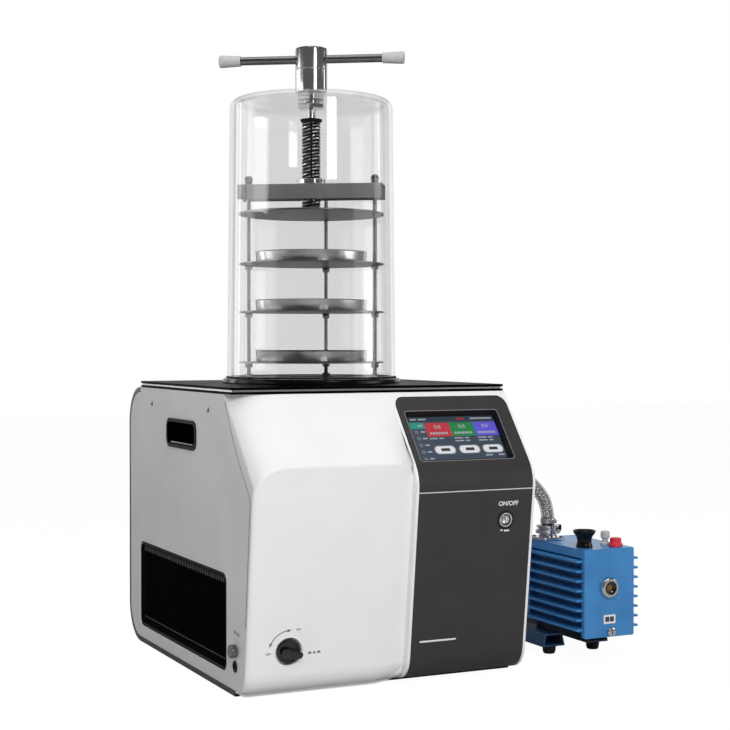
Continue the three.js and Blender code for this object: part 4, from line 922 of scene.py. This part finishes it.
# Aluminium sheet, clear anodised: a pale line between the two blacks.
anodised = finish("clear_anodised_aluminium", "#c9c7c6", 0.3, 1.0)
grain(anodised, 1, 0.01)
dress("top_plate_spacer", "spacer_sheet", anodised, "cabinet", "aluminium", bevel=0.3)

# ---- Refrigeration --------------------------------------------------------------------------------
# Deep-drawn stainless cold trap with its copper evaporator soldered round it, and the black
# enamelled compressor and steel control box behind and beside it.
# Stainless steel, deep drawn: a soft mirror with faint draw marks.
drawn_stainless = finish("deep_drawn_stainless", "#b9bbbd", 0.22, 1.0)
mottle(drawn_stainless, 0.16, 0.34, 12)
dress("cold_trap", "trap_bucket", drawn_stainless, "cabinet", "steel")
# Copper tube, drawn and handled: warm, with duller patches.
drawn_copper = finish("drawn_copper", "#b0693c", 0.32, 1.0)
tint(drawn_copper, "#a55f35", "#bb7546", 14)
dress("trap_coil", "evaporator_coil", drawn_copper, "cabinet", "copper", crease=60)
# Stove enamel, sprayed black: glossy, with a slight orange peel.
black_enamel = finish("black_stove_enamel", "#121212", 0.3)
grain(black_enamel, 3, 0.05)
dress("compressor", "compressor_can", black_enamel, "cabinet", "black_paint")
# Steel sheet, galvanised: a dull grey that its spangle breaks up.
galvanised = finish("galvanised_steel", "#a9adb0", 0.45, 1.0)
tint(galvanised, "#9ca0a3", "#b4b8bb", 9)
dress("control_box", "control_case", galvanised, "cabinet", "pale_plastic", bevel=0.6)


# ---- Drying chamber -------------------------------------------------------------------------------
# Turned black base ring, nitrile gasket, and a cover drawn from clear cast acrylic with a rounded
# shoulder. The cover rests on the gasket and is lifted off by hand.
def quarter(middle_radius, middle_height, radius, steps=10):
    """Profile points round a quarter circle, from its widest place to its highest."""
    return [(middle_radius + radius * math.cos(a), middle_height + radius * math.sin(a))
            for a in (math.pi / 2 * k / steps for k in range(steps + 1))]


CHAMBER_X = -6
COVER_RADIUS, COVER_WALL, SHOULDER_Z, SHOULDER_RADIUS, INNER_SHOULDER = 131, 6, 878, 14, 8
axis = Matrix.Translation((CHAMBER_X, 0, 0))
# Aluminium, turned and anodised black: dark, with a bright edge on every round.
black_anodised = finish("polished_black_anodising", "#1b1a1b", 0.16, 0.8)
mottle(black_anodised, 0.1, 0.26, 10)
keep(turned("base_ring", black_anodised, [
    (105, 445.7), (105, 441), (118.6, 441), (118.6, 438.8), (142.6, 438.8), (143, 439.3), (143, 443),
    (142.3, 444.8), (140.8, 445.8), (138.8, 446), (105.4, 446)], axis, 128, True),
    "cabinet", "black_glass", "chamber_base_ring")
keep(turned("cover_gasket", nitrile, [
    (126.8, 446.4), (136.6, 446.4), (137, 447), (137, 448.4), (136.4, 449), (127, 449), (126.5, 448.4),
    (126.5, 447)], axis, 128, True), "cabinet", "rubber", "chamber_gasket")
# Cast acrylic, polished: the glare of its surface alone is a mirror, laid over a faintly grey wall.
cast_acrylic = finish("clear_cast_acrylic", "#ffffff", 0.0, 1.0)
see_through(cast_acrylic, "#f7f7f7", 0.04, 5.0)
outside = quarter(COVER_RADIUS - SHOULDER_RADIUS, SHOULDER_Z, SHOULDER_RADIUS)
inside = quarter(COVER_RADIUS - COVER_WALL - INNER_SHOULDER, SHOULDER_Z, INNER_SHOULDER)
keep(turned("acrylic_cover", cast_acrylic, [
    (135.5, 449.3), *outside, (14, 892), (14, 886), *reversed(inside), (129.5, 449.3)], axis, 160, True),
    "cabinet", "acrylic", "clear_cover")

# ---- Press head -----------------------------------------------------------------------------------
# Turned and polished stainless hub over a seal collar and a hex gland. A steel bar goes through the
# hub, with soft PVC caps on its ends.
# Stainless steel, turned and polished: tall clean streaks of light down its sides.
polished_stainless = finish("polished_stainless", "#d6d6d7", 0.13, 1.0)
mottle(polished_stainless, 0.11, 0.17, 30, (0.3, 0.3, 1))
keep(turned("collar", polished_stainless, [
    (7.2, 898.2), (19, 898.2), (20.5, 899), (25, 903.6), (26, 906.5), (26, 940.4), (25.5, 941.1),
    (7.2, 941.1)], axis, 96, True), "cabinet", "chrome", "seal_collar")
keep(turned("hub", polished_stainless, [
    (0, 730), (6.8, 730), (6.8, 941.6), (25.5, 941.6), (26, 942.2), (26, 972.6), (25, 975), (22.8, 976),
    (3, 976), (2.2, 974.6), (0, 974.6)], axis), "handle", "chrome", "handle_hub")
dress("shaft_gland", "gland_nut", polished_stainless, "cabinet", "steel", bevel=0.7)
BAR_TURN, BAR_Z, BAR_HALF, BAR_RADIUS = math.radians(-33), 958, 146, 6.75
bar_along = Vector((math.cos(BAR_TURN), math.sin(BAR_TURN), 0))
bar_plane = plane_at((CHAMBER_X, 0, BAR_Z), (0, 0, 1), bar_along.cross(Vector((0, 0, 1))))
# Steel bar, cold drawn: darker than the hub, with soft streaks along it.
dark_steel = finish("drawn_steel_bar", "#8a8a8b", 0.2, 1.0)
mottle(dark_steel, 0.17, 0.24, 30)
keep(turned("cross_bar_handle", dark_steel, [
    (0, -BAR_HALF), (6.3, -BAR_HALF), (BAR_RADIUS, -145.4), (BAR_RADIUS, 145.4), (6.3, BAR_HALF),
    (0, BAR_HALF)], bar_plane, 48), "handle", "steel", "handle_bar")
# Soft PVC, dip moulded: matt and pale, a little uneven in tone.
soft_pvc = finish("pale_grey_soft_pvc", "#c4c3c1", 0.5)
tint(soft_pvc, "#bebdbb", "#cac9c7", 7)
grain(soft_pvc, 1.5, 0.05)
cap_profile = [(7.05, 115.4), (7.9, 115.4), (8.4, 116.2), (9.0, 128), (9.7, 140), (10.1, 147.6),
               (9.6, 149.8), (8.2, 150.5), (0, 150.5), (0, 146.2), (7.05, 146.2)]
for side, way in (("left", -1), ("right", 1)):
    keep(turned(f"end_cap_{side}", soft_pvc, [(radius, way * along) for radius, along in cap_profile],
                bar_plane, 48, True), "handle", "pale_plastic", f"bar_cap_{side}")


# ---- Stoppering press -----------------------------------------------------------------------------
# Three-start screw with a keyway, lifted and lowered by a nut that the crossbar carries. It bears
# on a thin stainless plate with a turned collar.
def thread_tree(look):
    """Left-hand thread ridges: Starts of them wound on Radius over a Long stretch."""
    tree, size = new_tree("press_threads", Starts="Int", Radius="Float", Turns="Float", Long="Float",
                          Ridge="Float")
    spiral = node(tree, "GeometryNodeCurveSpiral", {
        "Resolution": 40, "Rotations": size["Turns"], "Start Radius": size["Radius"],
        "End Radius": size["Radius"], "Height": size["Long"], "Reverse": True})
    section = node(tree, "GeometryNodeCurvePrimitiveCircle", {"Resolution": 6, "Radius": size["Ridge"]})
    ridge = node(tree, "GeometryNodeCurveToMesh", {
        "Curve": spiral.outputs["Curve"], "Profile Curve": section.outputs["Curve"], "Fill Caps": True})
    starts = node(tree, "GeometryNodeMeshLine", {"Count": size["Starts"], "Offset": (0, 0, 0)},
                  mode="OFFSET")
    which = node(tree, "GeometryNodeInputIndex")
    share = node(tree, "ShaderNodeMath", {0: which.outputs["Index"], 1: size["Starts"]},
                 operation="DIVIDE")
    angle = node(tree, "ShaderNodeMath", {0: share.outputs[0], 1: 2 * math.pi}, operation="MULTIPLY")
    around = node(tree, "ShaderNodeCombineXYZ", {"Z": angle.outputs[0]})
    return copies(tree, starts.outputs["Mesh"], ridge.outputs["Mesh"], look, Rotation=around.outputs[0])


SCREW_LOW, SCREW_TOP = 711.0, 862.0
THREAD_LOW, THREAD_LONG, THREAD_LEAD, THREAD_STARTS = 720.5, 136, 16.2, 3
THREAD_RADIUS, THREAD_RIDGE = 14.3, 1.35
KEYWAY_BEARING = math.radians(246.4)
# Steel, machined thread: a bright line on the crown of each ridge.
thread_steel = finish("machined_steel_thread", "#dcdcde", 0.24, 1.0)
mottle(thread_steel, 0.15, 0.3, 2)
# The root between the ridges, painted black as painted shade, so that each ridge stands out from it.
screw_core = finish("oiled_steel_core", "#050505", 0.5, Specular_IOR_Level=0.1)
mottle(screw_core, 0.4, 0.6, 3)
keep(turned("press_screw_core", screw_core, [
    (7.4, SCREW_LOW), (12, SCREW_LOW), (12, 719), (13.6, 720), (13.6, 857), (17, 858), (17.5, 858.6),
    (17.5, 861.4), (17, SCREW_TOP), (7.4, SCREW_TOP)], axis, 48, True),
    "lift_screw", "chrome", "press_screw")
ridges = grow("press_thread_ridges", thread_tree(thread_steel), Starts=THREAD_STARTS,
              Radius=THREAD_RADIUS * MM, Turns=THREAD_LONG / THREAD_LEAD, Long=THREAD_LONG * MM,
              Ridge=THREAD_RIDGE * MM)
keep(shade(grown_on(moved(axis, 0, 0, THREAD_LOW), ridges), 50), "lift_screw", "chrome")
key_out = Vector((math.cos(KEYWAY_BEARING), math.sin(KEYWAY_BEARING), 0))
key_plane = plane_at(Vector((CHAMBER_X, 0, 789)) + 14.6 * key_out, (-key_out.y, key_out.x, 0), (0, 0, 1))
# The keyway is a dark bar in the same painted shade, for its groove.
keep(slab("press_keyway", screw_core, key_plane, -1.5, 1.6, outline(3.4, THREAD_LONG, 0.6)),
     "lift_screw", "chrome")
keep(turned("screw_nut_ring", polished_stainless, [
    (15.9, 757.4), (22.4, 757.4), (23, 758), (23, 764.2), (22.2, 765), (15.9, 765)], axis, 64, True),
    "cabinet", "steel", "screw_nut")
# Stainless sheet, cold rolled: a soft grey mirror. Its underside is painted dark and flat: painted
# shade and the painted reflection of the black plates below it.
rolled_steel = finish("cold_rolled_stainless", "#8e8e91", 0.32, 1.0)
mottle(rolled_steel, 0.29, 0.36, 60)
pickled_steel = finish("pickled_stainless_underside", "#47474a", 0.4, 0.9)
tint(pickled_steel, "#424245", "#4d4d50", 25)
# Flat bar, bright drawn: paler than the sheet, with lines along it.
bar_steel = finish("bright_drawn_flat", "#c9cacd", 0.36, 0.85)
grain(bar_steel, 0.7, 0.01, (0.04, 1, 1))
mottle(bar_steel, 0.28, 0.44, 30)
dress("crossbar", "press_crossbar", bar_steel, "cabinet", "steel", bevel=0.8)
dress("press_plate", "stoppering_plate", rolled_steel, "press", "steel", bevel=0.5, under=pickled_steel)

# ---- Shelf rack -----------------------------------------------------------------------------------
# Three stainless shelves on turned rods, with a pressed aluminium tray on each. The front rods end
# in acorn nuts on the crossbar.
# Aluminium, pressed and tumbled: pale, with bright bands round its walls.
pressed_aluminium = finish("pressed_aluminium", "#e2e3e5", 0.26, 1.0)
mottle(pressed_aluminium, 0.2, 0.27, 60, (1, 1, 0.2))
for rod_name in ("rod_left", "rod_right", "rod_rear"):
    dress(rod_name, f"{rod_name}_turned", dark_steel, "cabinet", "steel", crease=35)
for level in (1, 2, 3):
    dress(f"shelf_{level}", f"shelf_plate_{level}", rolled_steel, "cabinet", "steel", bevel=0.4,
          under=pickled_steel)
    dress(f"tray_{level}", f"product_tray_{level}", pressed_aluminium, "cabinet", "aluminium", crease=40)

# ---- Vacuum pump ----------------------------------------------------------------------------------
# Cast aluminium oil box and motor in blue enamel, on folded steel rails with rubber feet.
PUMP_X, PUMP_FACE_Y, PUMP_TOP = 388, -266.5, 179.3
# Stove enamel, sprayed blue on castings: strong and clean, with a slight orange peel.
blue_enamel = finish("blue_stove_enamel", "#3a84c2", 0.33, Coat_Weight=0.2)
grain(blue_enamel, 2.6, 0.03)
tint(blue_enamel, "#377fbd", "#3e89c7", 45)
dress("pump_oil_box", "oil_box_casting", blue_enamel, "cabinet", "pump_blue", bevel=0.6)
dress("pump_motor", "motor_casting", blue_enamel, "cabinet", "pump_blue", bevel=0.5)
# The same blue enamel painted navy on the rails as painted shade, and duller.
dark_enamel = finish("navy_stove_enamel", "#1c3c5c", 0.4)
grain(dark_enamel, 2.2, 0.03)
dress("pump_base", "pump_rails", dark_enamel, "cabinet", "pump_blue", bevel=0.5)
upright = Matrix.Identity(4)
for row, y in enumerate((-164, 40)):
    for column, x in enumerate((PUMP_X - 46, PUMP_X + 38)):
        keep(turned(f"pump_foot_{row}_{column}", nitrile, [
            (0, 0), (8.4, 0), (9.2, 0.8), (10.2, 3.5), (11.2, 12), (11.2, 14), (0, 14)],
            moved(upright, x, y), 40), "cabinet", "rubber")

# The sight glass is a chrome bezel with a window over a brass level float.
pump_plane = plane_at((0, PUMP_FACE_Y, 0), (1, 0, 0), (0, 0, 1))
sight_plane = moved(pump_plane, PUMP_X - 2, 118)
keep(turned("sight_bezel", polished_stainless, [
    (10, -8), (10, 6.6), (10.8, 8), (13.6, 8), (15.4, 6.6), (16, 5), (16, 0.3), (10.5, 0.3), (10.5, -8)],
    sight_plane, 64, True), "cabinet", "chrome", "sight_glass")
# Glass with dark oil behind it: near black under a hard gloss. The same black is painted shade in the drain
# plug's slot.
oil_dark = finish("dark_oil_behind_glass", "#0d0a07", 0.08, Coat_Weight=1.0)
mottle(oil_dark, 0.05, 0.12, 6)
keep(turned("sight_window", oil_dark, [(0, 2.4), (9.9, 2.4), (9.9, 0.5), (0, 0.5)], sight_plane, 48),
     "cabinet", "black_plastic")
# Brass sheet, pressed: a small warm star.
float_brass = finish("pressed_brass_float", "#a8803c", 0.35, 0.6)
mottle(float_brass, 0.25, 0.45, 2)
# Plastic, moulded dark red: one dull dot in the middle of the star.
float_red = finish("red_float_hub", "#5e2a1c", 0.4)
star = [(radius * math.cos(math.pi * k / 6), radius * math.sin(math.pi * k / 6))
        for k, radius in enumerate((2.9, 5.4) * 6)]
keep(slab("level_float", float_brass, sight_plane, 2.4, 3.4, star), "cabinet", "steel")
keep(turned("level_float_hub", float_red, [(0, 4.2), (1.5, 4.2), (1.9, 3.4), (0, 3.4)], sight_plane, 24),
     "cabinet", "red_plastic")

# A bare rating label, and the slotted drain plug under it.
label_plane = moved(pump_plane, PUMP_X + 0.5, 68)
plug_plane = moved(pump_plane, PUMP_X + 2, 48)
# Vinyl, white and matt, and the grey fields printed on it.
label_stock = finish("white_vinyl_label", "#e9e9e8", 0.4)
grain(label_stock, 1.5, 0.01)
label_fields = finish("printed_grey_fields", "#3d4743", 0.5)
grain(label_fields, 1.1, 0.01)
keep(slab("pump_label", label_stock, label_plane, 0, 0.25, outline(22, 14, 1.8)), "cabinet", "white_paint")
keep(slab("pump_label_fields", label_fields, label_plane, 0.25, 0.32, outline(7.6, 8, 0.5, -4.3),
          outline(7.6, 8, 0.5, 4.3)), "cabinet", "black_plastic")
keep(turned("drain_plug_head", polished_stainless, [
    (0, 3.6), (1.6, 3.6), (1.6, 5.6), (5.6, 5.6), (7, 4.8), (7.5, 3.4), (7.5, 0.3), (0, 0.3)],
    plug_plane, 48), "cabinet", "steel", "drain_plug")
# The slot is a dark bar raised on the plug's head: painted shade for the recess.
keep(slab("drain_plug_slot", oil_dark, plug_plane, 5.2, 5.75, outline(1.6, 9.6, 0.5)), "cabinet",
     "black_plastic")

# Exhaust spout, gas-ballast valve and filler cap stand on the oil box's lid.
spout_axis = moved(upright, 362, -235)
ballast_axis = moved(upright, 410, -222.7)
cap_axis = moved(upright, 411.7, -249.1)
# Phenolic, moulded black: a clean gloss on the flare's rim.
gloss_black = finish("gloss_black_phenolic", "#080808", 0.24, Specular_IOR_Level=0.3)
grain(gloss_black, 5, 0.02)
keep(turned("exhaust_flare", gloss_black, [
    (0, 186), (8.2, 186), (9, 195), (12, 200), (15.4, 205), (16.6, 206.2), (17.8, 205.8), (18, 204.6),
    (16.4, 201), (13, 196.6), (11.4, 191), (11.2, 187), (12.4, 183.4), (13, 182), (13, PUMP_TOP),
    (0, PUMP_TOP)], spout_axis, 72), "cabinet", "black_plastic", "exhaust_spout")
# Polyamide, moulded pale grey: matt, with a fine grain.
grey_polyamide = finish("grey_polyamide", "#c2c2c0", 0.42)
grain(grey_polyamide, 1.2, 0.04)
keep(turned("ballast_body", grey_polyamide, [
    (0, PUMP_TOP), (8, PUMP_TOP), (8, 182), (7, 183), (4.6, 184), (4.6, 188), (6.4, 189.6), (6.8, 191),
    (6.8, 198.8), (6.2, 200.6), (4, 201.3), (3, 200.2), (0, 200.2)], ballast_axis, 40),
    "ballast_turner", "pale_plastic", "ballast_valve")
ballast_ribs = grow("ballast_grip", rib_tree(grey_polyamide), Count=14, Radius=6.7 * MM, Wide=1.4 * MM,
                    Long=8 * MM)
keep(grown_on(moved(ballast_axis, 0, 0, 195), ballast_ribs), "ballast_turner", "pale_plastic")
# Nylon, moulded red: strong and slightly glossy.
red_nylon = finish("red_nylon", "#d83244", 0.34)
grain(red_nylon, 1.3, 0.03)
keep(turned("filler_cap_body", red_nylon, [
    (0, PUMP_TOP), (10.4, PUMP_TOP), (11, 180), (11, 183.4), (10.3, 185), (8.9, 185.6), (8.5, 186.4),
    (8.4, 191.6), (7.6, 193), (6.4, 193.3), (0, 193.3)], cap_axis, 48),
    "filler_cap", "red_plastic", "oil_cap")
cap_ribs = grow("filler_cap_grip", rib_tree(red_nylon), Count=12, Radius=8.4 * MM, Wide=1.5 * MM,
                Long=5.6 * MM)
keep(grown_on(moved(cap_axis, 0, 0, 189), cap_ribs), "filler_cap", "red_plastic")

# ---- Vacuum fittings ------------------------------------------------------------------------------
# Chromed inlet flange on four cap screws, a clamping ring with a wing nut, and the hose's clip. The
# cabinet's side has the same chromed nozzle.
INLET_X, INLET_Y, FLANGE_WIDE, FLANGE_TOP, SCREW_SPREAD = 362, -128, 44, 184, 16
inlet_axis = moved(upright, INLET_X, INLET_Y)
# Brass, turned and chromed: a hard mirror that breaks up on each rib.
chrome_plate = finish("bright_chrome_plate", "#d2d3d5", 0.1, 1.0)
mottle(chrome_plate, 0.06, 0.2, 4)
inlet_flange = slab("inlet_flange", chrome_plate, inlet_axis, PUMP_TOP, FLANGE_TOP,
                    outline(FLANGE_WIDE, FLANGE_WIDE, 9), holes=[outline(20, 20, 9.9)])
keep(shade(inlet_flange, 35, 1.0), "cabinet", "chrome", "inlet_port")
keep(turned("inlet_nozzle", chrome_plate, [
    (9.6, 179.4), (13, 179.4), (15, 184), (15, 186), (13.4, 187), (13.4, 188.4), (19, 189.6), (20, 190.6),
    (20, 195), (18.6, 196.2), (15.4, 196.8), (15.4, 198), (18, 199.2), (18.6, 200), (18.6, 202.4),
    (17, 203.4), (12.4, 204), (9.6, 204.7)], inlet_axis, 64, True), "cabinet", "chrome")
for row, y in (("front", INLET_Y - SCREW_SPREAD), ("rear", INLET_Y + SCREW_SPREAD)):
    keep(grow(f"inlet_screws_{row}", screws, Count=2, Start=metres(INLET_X - SCREW_SPREAD, y, FLANGE_TOP),
              Step=metres(2 * SCREW_SPREAD, 0, 0), Facing=(0, 0, 0), Radius=3.6 * MM, Crown=PAN_HEAD),
         "cabinet", "chrome")
wing = slab("clamp_wing", gloss_black, plane_at((INLET_X + 12, INLET_Y, 193), (1, 0, 0), (0, 0, 1)), -5, 5,
            [(0, -4), (9, -4), (12, 2), (12, 9.5), (4, 10.5), (0, 5)])
keep(shade(wing, 35, 1.0), "cabinet", "black_plastic")
keep(turned("hose_clip", chrome_plate, [
    (11.2, 206), (11.9, 206), (12.1, 206.6), (12.1, 213.4), (11.9, 214), (11.2, 214)], inlet_axis, 48,
    True), "cabinet", "chrome")
clip_plane = plane_at((INLET_X, INLET_Y - 12.4, 210), (1, 0, 0), (0, 0, 1))
clip_box = slab("hose_clip_screw_box", chrome_plate, clip_plane, -0.6, 4.6, outline(14, 6.4, 2))
keep(shade(clip_box, 35, 0.6), "cabinet", "chrome")
dress("side_port", "side_nozzle", chrome_plate, "cabinet", "chrome", crease=40)


# ---- Studio ---------------------------------------------------------------------------------------
# White sweep under a high soft key from the front. Metal and acrylic mirror the banks of light and
# the dark room between them, and not the key, which would veil the press behind the cover.
def lamp(name, wide, high, power, place, aim):
    """A rectangular soft light facing a point."""
    data = bpy.data.lights.new(name, "AREA")
    data.shape = "RECTANGLE"
    data.size, data.size_y = wide, high
    data.energy = power
    made = bpy.data.objects.new(name, data)
    bpy.context.scene.collection.objects.link(made)
    made.location = place
    made.rotation_euler = (Vector(aim) - Vector(place)).to_track_quat("-Z", "Y").to_euler()
    made.visible_camera = False
    return made


def bank(name, first, final, low, high, radiance, reach=2.2):
    """A mirrored bank of light between two bearings and two heights, seen from the chamber."""
    bearing = math.radians((first + final) / 2)
    wide = 2 * reach * math.tan(math.radians(final - first) / 2)
    middle = (low + high) / 2
    place = (CHAMBER_X * MM + reach * math.cos(bearing), reach * math.sin(bearing), middle)
    made = lamp(name, wide, high - low, radiance * wide * (high - low) * math.pi, place,
                (CHAMBER_X * MM, 0, middle))
    made.visible_diffuse = False


lamp("key", 2.0, 1.4, 65, (-0.6, -3.0, 1.8), (0, 0, 0.3)).visible_glossy = False
lamp("top_soft", 2.4, 2.4, 21, (0, -0.2, 2.7), (0, 0, 0.4))
bank("left_strip_narrow", 119.6, 134, 0.3, 1.35, 3)
bank("back_sweep", 22, 112, 0.0, 1.7, 0.66)
bank("left_strip_wide", 141.4, 160, 0.3, 1.4, 2.4)
bank("left_softbox", 160, 184, 0.92, 1.2, 4)
bank("front_strip", 268, 281, 1.02, 1.5, 8)
bank("left_fill", 165, 199, 0.3, 0.9, 0.8)
bank("right_fill", 306, 345, 0.3, 0.95, 1.0)
bank("right_strip_low", 320, 340, 0.3, 0.75, 2.6, 2.1)
bank("right_strip_high", 349, 356, 0.9, 1.4, 2.5)

# White paper sweep: it reads as white to the eye and throws back only a little light.
FLOOR_Z = -0.0008
floor_data = bpy.data.meshes.new("floor")
floor_data.from_pydata([(-7, -7, FLOOR_Z), (7, -7, FLOOR_Z), (7, 8, FLOOR_Z), (-7, 8, FLOOR_Z)], [],
                       [(0, 1, 2, 3)])
floor_paper = finish("white_floor_paper", "#c8c8c8", 0.9)
paper = floor_paper.node_tree
seen_floor = node(paper, "ShaderNodeLightPath")
sunlit = node(paper, "ShaderNodeEmission", {"Color": (1, 1, 1, 1), "Strength": 1.04})
white_sheet = node(paper, "ShaderNodeBsdfDiffuse", {"Color": (0.9, 0.9, 0.9, 1)})
bright = node(paper, "ShaderNodeMixShader", {
    "Fac": 0.93, 1: white_sheet.outputs["BSDF"], 2: sunlit.outputs["Emission"]})
both = node(paper, "ShaderNodeMixShader", {
    "Fac": seen_floor.outputs["Is Camera Ray"], 1: shader_of(floor_paper).outputs["BSDF"],
    2: bright.outputs["Shader"]})
paper.links.new(both.outputs["Shader"], paper.nodes["Material Output"].inputs["Surface"])
thing("floor", floor_data, floor_paper)

# The air is white to the eye, dim in a mirror, and lifts matt surfaces a little.
bpy.context.scene.view_settings.view_transform = "Standard"
world = bpy.data.worlds.new("studio_air")
bpy.context.scene.world = world
world.use_nodes = True
air = world.node_tree
seen_air = node(air, "ShaderNodeLightPath")
to_eye = node(air, "ShaderNodeMapRange", {
    "Value": seen_air.outputs["Is Camera Ray"], "To Min": 0.12, "To Max": 1.0})
to_matt = node(air, "ShaderNodeMath", {0: seen_air.outputs["Is Diffuse Ray"], 1: 0.14},
               operation="MULTIPLY")
level = node(air, "ShaderNodeMath", {0: to_eye.outputs["Result"], 1: to_matt.outputs[0]},
             operation="ADD")
air.links.new(level.outputs[0], air.nodes["Background"].inputs["Strength"])
air.nodes["Background"].inputs["Color"].default_value = (1, 1, 1, 1)
